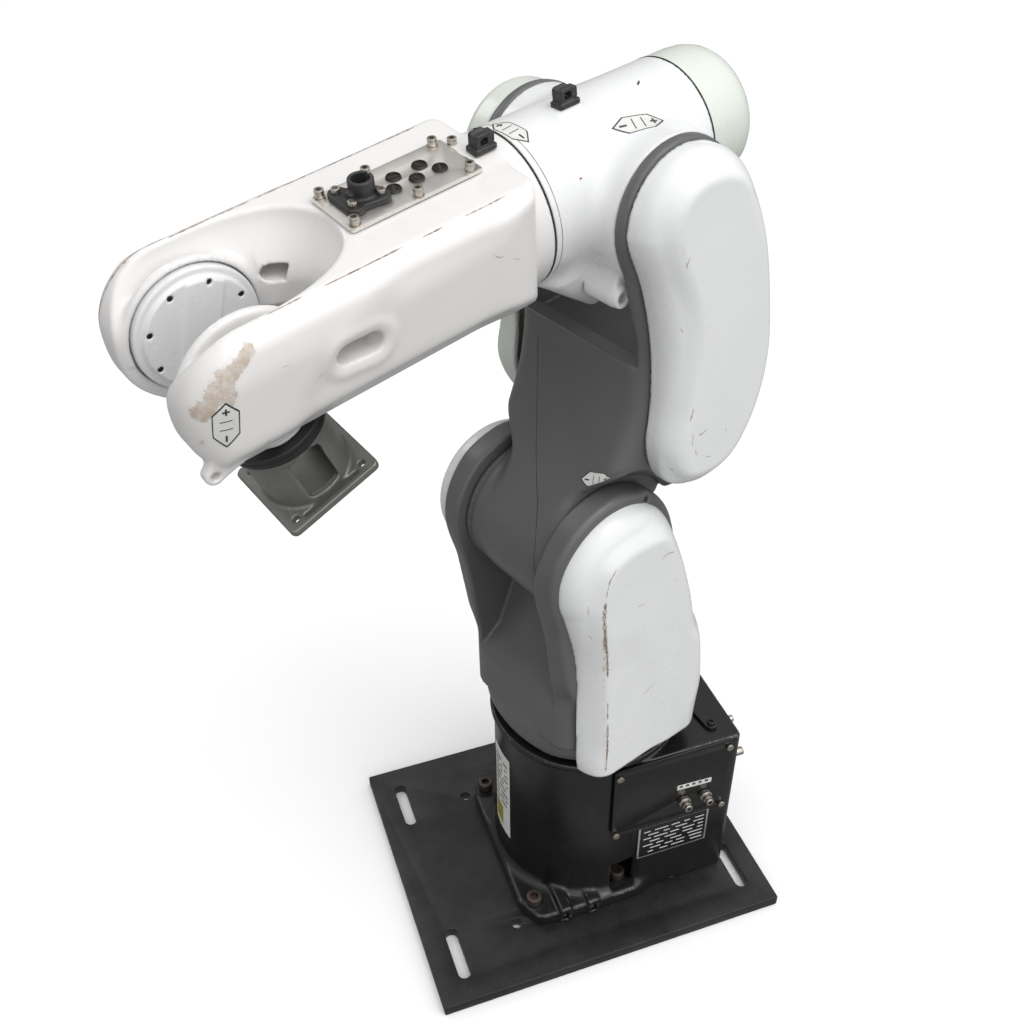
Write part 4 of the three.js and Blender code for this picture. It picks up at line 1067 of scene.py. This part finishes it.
PLATE_SCREWS = [(217, -19.5), (217, 19), (182, -20.3), (170.5, 20), (130.5, -19.5), (130, 19.4)]
PLUGS = [(170.6, -6.6), (178, 4.3), (160.2, 4.1), (150.4, -6.6), (142.6, 4.7)]
PLATE_Z0, PLATE_Z1 = TOP_Z + 0.3, TOP_Z + 2.5
top_edge = fillet([(122, -23.5), (222, -23.5), (222, 23.5), (122, 23.5)], 2.5, 4)
cut_plate("forearm_top_plate_fine", "forearm", FORE, "z",
          [top_edge] + [ring_outline(x, y, 4.3, 24) for x, y in PLUGS], PLATE_Z0, PLATE_Z1, 0.4,
          SATIN, ["forearm_top_plate"])
for i, (x, y) in enumerate(PLATE_SCREWS):
    washer = smooth_ring("z", (x, y, PLATE_Z1), [(3.9, 0), (3.9, 0.7), (2.0, 0.7)], 30)
    turned(f"top_plate_screw_{i + 1}_fine", "forearm", FORE,
           [washer, cap_screw("z", (x, y, PLATE_Z1 + 0.7), 3.3, 5.2)], STEEL,
           [f"top_plate_screw_{i + 1}"])
for i, (x, y) in enumerate(PLUGS):
    head = [(3.9, -3), (3.9, 0), (5.1, 0), (5.2, 0.5), (4.7, 1.2), (4.2, 1.35), (3.9, 0.75), (0, 0.75)]
    parts = [smooth_ring("z", (x, y, PLATE_Z1 + 0.1), head, 36)]
    turned(f"port_plug_{i + 1}_fine", "forearm", FORE, parts, PLUG, [f"port_plug_{i + 1}"])
    # Each plug's slot is not cut: a dark quad on its flat top is painted shade standing in for the slot's
    # recess.
    a = rng.uniform(0, math.pi)
    verts = []
    for du, dv in ((-3.3, -0.55), (3.3, -0.55), (3.3, 0.55), (-3.3, 0.55)):
        verts.append((x + du * math.cos(a) - dv * math.sin(a), y + du * math.sin(a) + dv * math.cos(a),
                      PLATE_Z1 + 0.9))
    flat_piece(f"port_plug_{i + 1}_slot", "forearm", FORE, [(verts, [(0, 1, 2, 3)])], SEAM_AND_SLOT_SHADE)

CLAMP_Z = PLATE_Z1 + 0.3


def clamp_field(x, y, z):
    w = z - CLAMP_Z
    arms = np.minimum(strap(x, y, (209, -11), (209, 8), 6.5, 6.5), strap(x, y, (209, 5), (190, 8), 6.5, 6.5))
    arms = np.minimum(arms, strap(x, y, (192, 4), (208, -8), 7.5, 6.5))
    foot = rim(arms, slab(w, 0, 4.2), 1.2)
    collar = rim(hyp(x - 198, y) - 8.4, slab(w, 0, 14.8), 1.2)
    web = rim(rect(x, y, 190, 209, -3, 3, 2), slab(w, 0, 8), 1.2)
    d = smin(smin(foot, collar, 2.5), web, 2)
    d = dig(d, np.maximum(hyp(x - 198, y) - 5.8, 6 - w), 0.8)
    return dig(d, np.maximum(np.abs(y + 2) - 1.2, np.maximum(x - 198, 8 - w)), 0.4)


cast("cable_clamp_fine", "forearm", FORE, clamp_field, (181, -18.5, CLAMP_Z - 1), (216.5, 15.5, CLAMP_Z + 16),
      0.6, PLASTIC, ["cable_clamp"])
clamp_screws = [cap_screw("z", (x, y, CLAMP_Z + 4.2), 3.0, 3.2)
                for x, y in ((210, -11.3), (189.6, 8.2), (210, 7.5))]
turned("cable_clamp_screws", "forearm", FORE, clamp_screws, STEEL)
turned("forearm_lone_screw", "forearm", FORE, [cap_screw("z", (118.3, -14.6, 53.3), 3.3, 5.4, sunk=3)],
       STEEL)

# ---- wrist -----------------------------------------------------------------------------------
def yoke_field(x, y, z):
    w = np.abs(y)
    blade = strap(x, z, (0, 0), (34, 0), 38, 33)
    cheek = rim(blade, slab(w, 23.1, 29.4), 1.6)
    hub = rim(hyp(x, z) - 43, slab(w, 26.2, 34), 1.4)
    web = rim(rect(x, z, 18, 60, -28, 28, 6), slab(w, 23.1, 29.4), 1.5)
    collar = rim(hyp(y, z) - 29.4, slab(x, 56, 68), 1.5)
    d = smin(smin(smin(cheek, hub, 1.2), web, 4), collar, 5)
    band = rim(np.maximum(np.abs(0.82 * z - 0.57 * x) - 13, hyp(x, z) - 36), slab(w, 22.1, 25), 0.8)
    d = smin(d, band, 0.8)
    d = dig(d, rim(np.abs(hyp(x, z) - 38.4) - 0.7, slab(w, 20, 25.0), 0.3), 0.5)
    for k in range(8):
        a = math.radians(39 + 45 * k)
        d = dig(d, np.maximum(hyp(x - 34.2 * math.cos(a), z - 34.2 * math.sin(a)) - 2.1, w - 24.6), 0.3)
    return dig(d, np.maximum(hyp(y, z) - 21, slab(x, 50, 80)), 1)


cast("wrist_yoke_fine", "wrist", WRIST, yoke_field, (-44, -35, -44), (69, 35, 44), 1.15, WHITE,
     ["wrist_yoke"])
sockets = []
for k in range(8):
    a = math.radians(39 + 45 * k)
    for s, axis in ((-1, "y"), (1, "-y")):
        at = (34.2 * math.cos(a), s * 24.5, 34.2 * math.sin(a))
        sockets.append(smooth_ring(axis, at, [(1.9, 0), (1.9, 0.7), (1.5, 1.0)], 18, hexagon=(0.9, 0.7)))
turned("wrist_cheek_screws", "wrist", WRIST, sockets, ANODISED)

# ---- flange and tool adapter -----------------------------------------------------------------
ring = [(16, 68.3), (36.6, 68.3), (37.4, 69), (37.4, 72.4), (36.4, 73), (36.4, 73.8), (37.4, 74.4),
        (37.4, 77.4), (36.8, 78), (16, 78)]
turned("tool_flange_fine", "flange", WRIST, [smooth_ring("x", (0, 0, 0), ring, 72)], ANODISED,
       ["tool_flange"])


def adapter_field(x, y, z):
    r = hyp(y, z)
    tube = rim(np.maximum(r - 33, 28 - r), slab(x, 78.3, 134), 0.8)
    collar = rim(np.maximum(r - 34.5, 27 - r), slab(x, 78.3, 85), 0.8)
    plate = rim(rect(y, z, -39, 39, -39, 39, 5), slab(x, 133, 139), 0.8)
    d = smin(smin(tube, collar, 2), plate, 2.5)
    window = smin(rect(x, z, 89, 127, -12.5, 12.5, 3), hyp(x - 94, z) - 13, 1)
    d = dig(d, window, 0.8)
    d = dig(d, np.maximum(rect(y, z, 31.2, 34.3, -24, 24, 1.4), slab(x, 131, 141)), 0.5)
    for p in (-29.6, 29.6):
        for q in (-29.6, 29.6):
            d = dig(d, hyp(y - p, z - q) - 2.6, 0.3)
    return d


cast("tool_adapter_fine", "flange", WRIST, adapter_field, (78, -39.2, -39.2), (139.2, 39.2, 39.2), 1.1,
     ADAPTER, ["tool_adapter"])

# ---- labels, seams and scratches --------------------------------------------------------------
HEX = [(-1, 0), (-0.5, 1), (0.5, 1), (1, 0), (0.5, -1), (-0.5, -1)]


def grown(points, k):
    return [(u * k, v * k) for u, v in points]


def frame_ring(points, k):
    """The outline of a label as thin quads, in the label's own plane."""
    inner = grown(points, k)
    n = len(points)
    return [[points[i], points[(i + 1) % n], inner[(i + 1) % n], inner[i]] for i in range(n)]


def turn_label(name, body, place, field, centre, u_axis, half, wide):
    """A plain hexagonal turn label: a minus bar, a plus and a dark border, with no lettering."""
    shape = [(u * half, v * wide) for u, v in HEX]
    flat_piece(name, body, place, [patch(field, centre, u_axis, shape, 0.12)], LABEL)

    def bar(u0, u1, v0, v1):
        return [(u0 * half, v0 * half), (u1 * half, v0 * half), (u1 * half, v1 * half), (u0 * half, v1 * half)]
    marks = [bar(-0.72, -0.44, -0.04, 0.04), bar(0.44, 0.72, -0.04, 0.04), bar(0.54, 0.62, -0.14, 0.14),
             bar(-0.20, -0.16, -0.24, 0.24), bar(0.16, 0.20, -0.24, 0.24)] + frame_ring(shape, 0.91)
    flat_piece(name + "_ink", body, place, [patch(field, centre, u_axis, m, 0.2) for m in marks],
               INK)


turn_label("elbow_turn_label", "elbow", ELBOW, elbow_field, (1, 43, 57), (-0.95, 0.28, -0.1), 20, 7.5)
turn_label("forearm_turn_label", "elbow", ELBOW, elbow_field, (81, 7, 72), (0.1, -1, 0), 18, 7)
turn_label("shoulder_turn_label", "upper_arm", ARM, arm_field, (35, 63, 89), (-0.78, 0.62, 0.1), 16, 7)
turn_label("wrist_turn_label", "forearm", FORE, forearm_field, (346, 68.5, 7.4), (-0.22, 0, 1), 16, 8.5)
flat_piece("elbow_ink_mark", "elbow", ELBOW, [patch(elbow_field, (-26, 15, 68), (1, 0.4, 0),
                                                    [(-3, -1), (2, -0.4), (3, 1.4), (-1, 0.8)])],
           INK)

dot, _ = settle(elbow_field, np.array([(60, 44, 40)], np.float32))
turned("red_dot_mark", "elbow", ELBOW,
       [smooth_ring("z", tuple(dot[0]), [(1.1, -0.2), (1.1, 0.15), (0, 0.2)], 12)], RED)


def seam(name, x, r, material):
    rings = smooth_ring("x", (x, 0, ELBOW_OFFSET), [(r - 1.5, -0.35), (r, -0.35), (r, 0.35), (r - 1.5, 0.35)],
                         96)
    turned(name, "elbow", ELBOW, [rings], material)


seam("cap_seam", -63.0, 51.95, SEAM_AND_SLOT_SHADE)
seam("neck_seam_rear", 84.6, 55.78, EDGE)
seam("neck_seam_front", 90.1, 56.0, SEAM_AND_SLOT_SHADE)
parting = ribbon(arm_field, [(62, -9, 180), (62, -4, 150), (64, 8, 100), (66, 22, 55), (62, 36, 24),
                             (60, 46, -10)], 0.7, 0.06)
flat_piece("arm_parting_line", "upper_arm", ARM, [parting], SEAM_AND_SLOT_SHADE)


def scratches(name, body, place, field, seeds, material, width=0.8):
    """Short wandering scuffs on a surface, each from (start, heading, length)."""
    parts = []
    for start, heading, length in seeds:
        h = np.array(heading, float)
        h /= np.linalg.norm(h)
        p = np.array(start, float)
        points = [p.copy()]
        for _ in range(max(int(length / 3), 2)):
            h = h + rng.normal(0, 0.22, 3)
            h /= np.linalg.norm(h)
            p = p + 3 * h
            points.append(p.copy())
        parts.append(ribbon(field, points, width * float(rng.uniform(0.5, 1.2)), 0.07, 0.5, 1.5))
    flat_piece(name, body, place, parts, material)


near_cover = [((-30, 112, 118), (1, 0, 0.5), 18), ((-22, 112, 128), (0.2, 0, 1), 16),
              ((-36, 112, 140), (1, 0, -0.4), 22), ((-14, 112, 150), (-0.4, 0, 1), 12),
              ((-48, 112, 112), (1, 0, 0.2), 9), ((20, 112, 285), (0.4, 0, -1), 16),
              ((8, 112, 224), (1, 0, 0.3), 7), ((-60, 112, 130), (1, 0, 1), 8),
              ((-8, 112, 100), (1, 0, 0.1), 10)]
scratches("arm_cover_scuffs", "upper_arm", ARM, arm_cover_field, near_cover, SCUFF, 0.7)
turret_marks = [((10, 101, 330), (0.8, 0, -0.4), 16), ((0, 101, 480), (1, 0, 0.2), 20),
                ((30, 101, 440), (1, 0, 0.3), 12), ((-6, 101, 300), (1, 0, -1), 10),
                ((84, 95, 420), (0, 0, 1), 18), ((88, 94, 452), (0.1, 0, 1), 12)]
scratches("turret_cover_scuffs", "turret", TURRET, turret_cover_field, turret_marks, SCUFF, 0.7)
worn_crest = [(((62.5, 246), (63.4, 280), (65, 312)), 1.5), (((65.4, 318), (66.6, 340)), 1.0),
              (((68.5, 373), (71, 402), (75, 428)), 1.8), (((73.6, 412), (76.8, 448), (76, 466)), 2.4),
              (((76, 470), (73, 486), (66, 496)), 0.7)]
crest_wear = [ribbon(turret_cover_field, [(x, 101, z) for x, z in line], wide, 0.07, 0.7, 1.5)
              for line, wide in worn_crest]
flat_piece("turret_cover_crest_wear", "turret", TURRET, crest_wear, EDGE)
fore_marks = [((140, 64, 20), (1, 0, 0.4), 12), ((128, 60, 10), (0.6, 0, 0.8), 9),
              ((320, 70, -20), (1, 0, 0.1), 10), ((300, 70, 26), (1, 0, -0.1), 6),
              ((280, 69, 8), (0.9, 0, -0.4), 6)]
scratches("forearm_scuffs", "forearm", FORE, forearm_field, fore_marks, SCUFF, 0.6)
fore_edges = []
for a, b in ((128, 160), (176, 192), (206, 262), (276, 300)):
    fore_edges.append(ribbon(forearm_field, [(a, 52.5, TOP_Z), ((a + b) / 2, 52.8, TOP_Z), (b, 52.6, TOP_Z)],
                             0.8, 0.05, 0.6))
for a, b in ((122, 246), (250, 306)):
    fore_edges.append(ribbon(forearm_field, [(a, -50.8, TOP_Z), ((a + b) / 2, -51.2, TOP_Z), (b, -51, TOP_Z)],
                              1.1, 0.06, 0.6))
fore_edges.append(ribbon(forearm_field, [(308, -53, 54), (330, -54, 50), (350, -54, 38), (362, -54, 20),
                                         (366, -54, 4)], 1.3, 0.06, 0.7))
flat_piece("forearm_edge_wear", "forearm", FORE, fore_edges, EDGE)

# ---- floor, lights and camera ----------------------------------------------------------------
scene = bpy.context.scene
scene.view_settings.view_transform = "Standard"


def floor_material():
    n = Nodes("floor")
    n.link(n.mix(n.between(n.noise(1.5, 2), 0.3, 0.7), (0.97, 0.97, 0.97), (0.955, 0.955, 0.957)),
           n.shader.inputs["Base Color"])
    n.shader.inputs["Roughness"].default_value = 0.9
    n.shader.inputs["Specular IOR Level"].default_value = 0.1
    return n.mat


FLOOR_HALF, FLOOR_Z = 6.0, -0.0006
floor_corners = [(FLOOR_HALF * a, FLOOR_HALF * b, FLOOR_Z) for a, b in ((-1, -1), (1, -1), (1, 1), (-1, 1))]
floor = bpy.data.objects.new("floor", mesh_of("floor", floor_corners, [(0, 1, 2, 3)]))
scene.collection.objects.link(floor)
floor.data.materials.append(floor_material())
floor.visible_diffuse = floor.visible_glossy = False

world = bpy.data.worlds.new("studio")
world.use_nodes = True
scene.world = world


def softbox(tree, towards, ambient, strength, power, under):
    """Sky brightest towards one side, dim below the horizon."""
    def calc(op, *values):
        m = tree.nodes.new("ShaderNodeMath")
        m.operation = op
        for socket, v in zip(m.inputs, values):
            if isinstance(v, bpy.types.NodeSocket):
                tree.links.new(v, socket)
            else:
                socket.default_value = v
        return m.outputs[0]
    coord = tree.nodes.new("ShaderNodeTexCoord").outputs["Generated"]
    dot = tree.nodes.new("ShaderNodeVectorMath")
    dot.operation = "DOT_PRODUCT"
    dot.inputs[1].default_value = Vector(towards).normalized()
    tree.links.new(coord, dot.inputs[0])
    split = tree.nodes.new("ShaderNodeSeparateXYZ")
    tree.links.new(coord, split.inputs[0])
    glow = calc("MULTIPLY", calc("POWER", calc("MAXIMUM", dot.outputs["Value"], 0.0), power), strength)
    sky = calc("ADD", glow, ambient)
    blend = tree.nodes.new("ShaderNodeMapRange")
    tree.links.new(split.outputs["Z"], blend.inputs["Value"])
    blend.inputs["From Min"].default_value, blend.inputs["From Max"].default_value = -0.05, 0.12
    lit = calc("ADD", calc("MULTIPLY", sky, blend.outputs[0]),
               calc("MULTIPLY", calc("SUBTRACT", 1.0, blend.outputs[0]), under))
    tree.links.new(lit, tree.nodes["Background"].inputs["Strength"])
    tree.nodes["Background"].inputs["Color"].default_value = (1, 1, 1, 1)


softbox(world.node_tree, (-0.22, 0.60, 0.77), 0.36, 1.55, 1.5, 0.34)


def lamp(name, at, aim, size, power):
    light = bpy.data.lights.new(name, "AREA")
    light.shape, light.size, light.energy = "DISK", size, power
    ob = bpy.data.objects.new(name, light)
    ob.location = at
    ob.rotation_euler = (Vector(aim) - Vector(at)).to_track_quat("-Z", "Y").to_euler()
    scene.collection.objects.link(ob)


lamp("key", (-0.5, 0.9, 2.3), (0.05, 0.0, 0.45), 0.9, 7)
lamp("rim", (0.9, -1.2, 1.7), (0.05, 0.0, 0.5), 0.7, 3)

AZ, EL, ROLL = math.radians(19.317), math.radians(37.388), math.radians(-0.547)
CAMERA_AT, CAMERA_LENS = (0.3378, 0.7462, 1.0860), 40.58
away = Vector((math.sin(AZ) * math.cos(EL), math.cos(AZ) * math.cos(EL), math.sin(EL)))
right = Vector((0, 0, 1)).cross(away).normalized()
up = away.cross(right)
right2 = math.cos(ROLL) * right + math.sin(ROLL) * up
up2 = -math.sin(ROLL) * right + math.cos(ROLL) * up
cam = bpy.data.objects.new("camera", bpy.data.cameras.new("camera"))
cam.matrix_world = Matrix((right2, up2, away)).transposed().to_4x4()
cam.location = CAMERA_AT
cam.data.lens, cam.data.sensor_width = CAMERA_LENS, 36.0
cam.data.clip_start, cam.data.clip_end = 0.05, 50
scene.collection.objects.link(cam)
scene.camera = cam
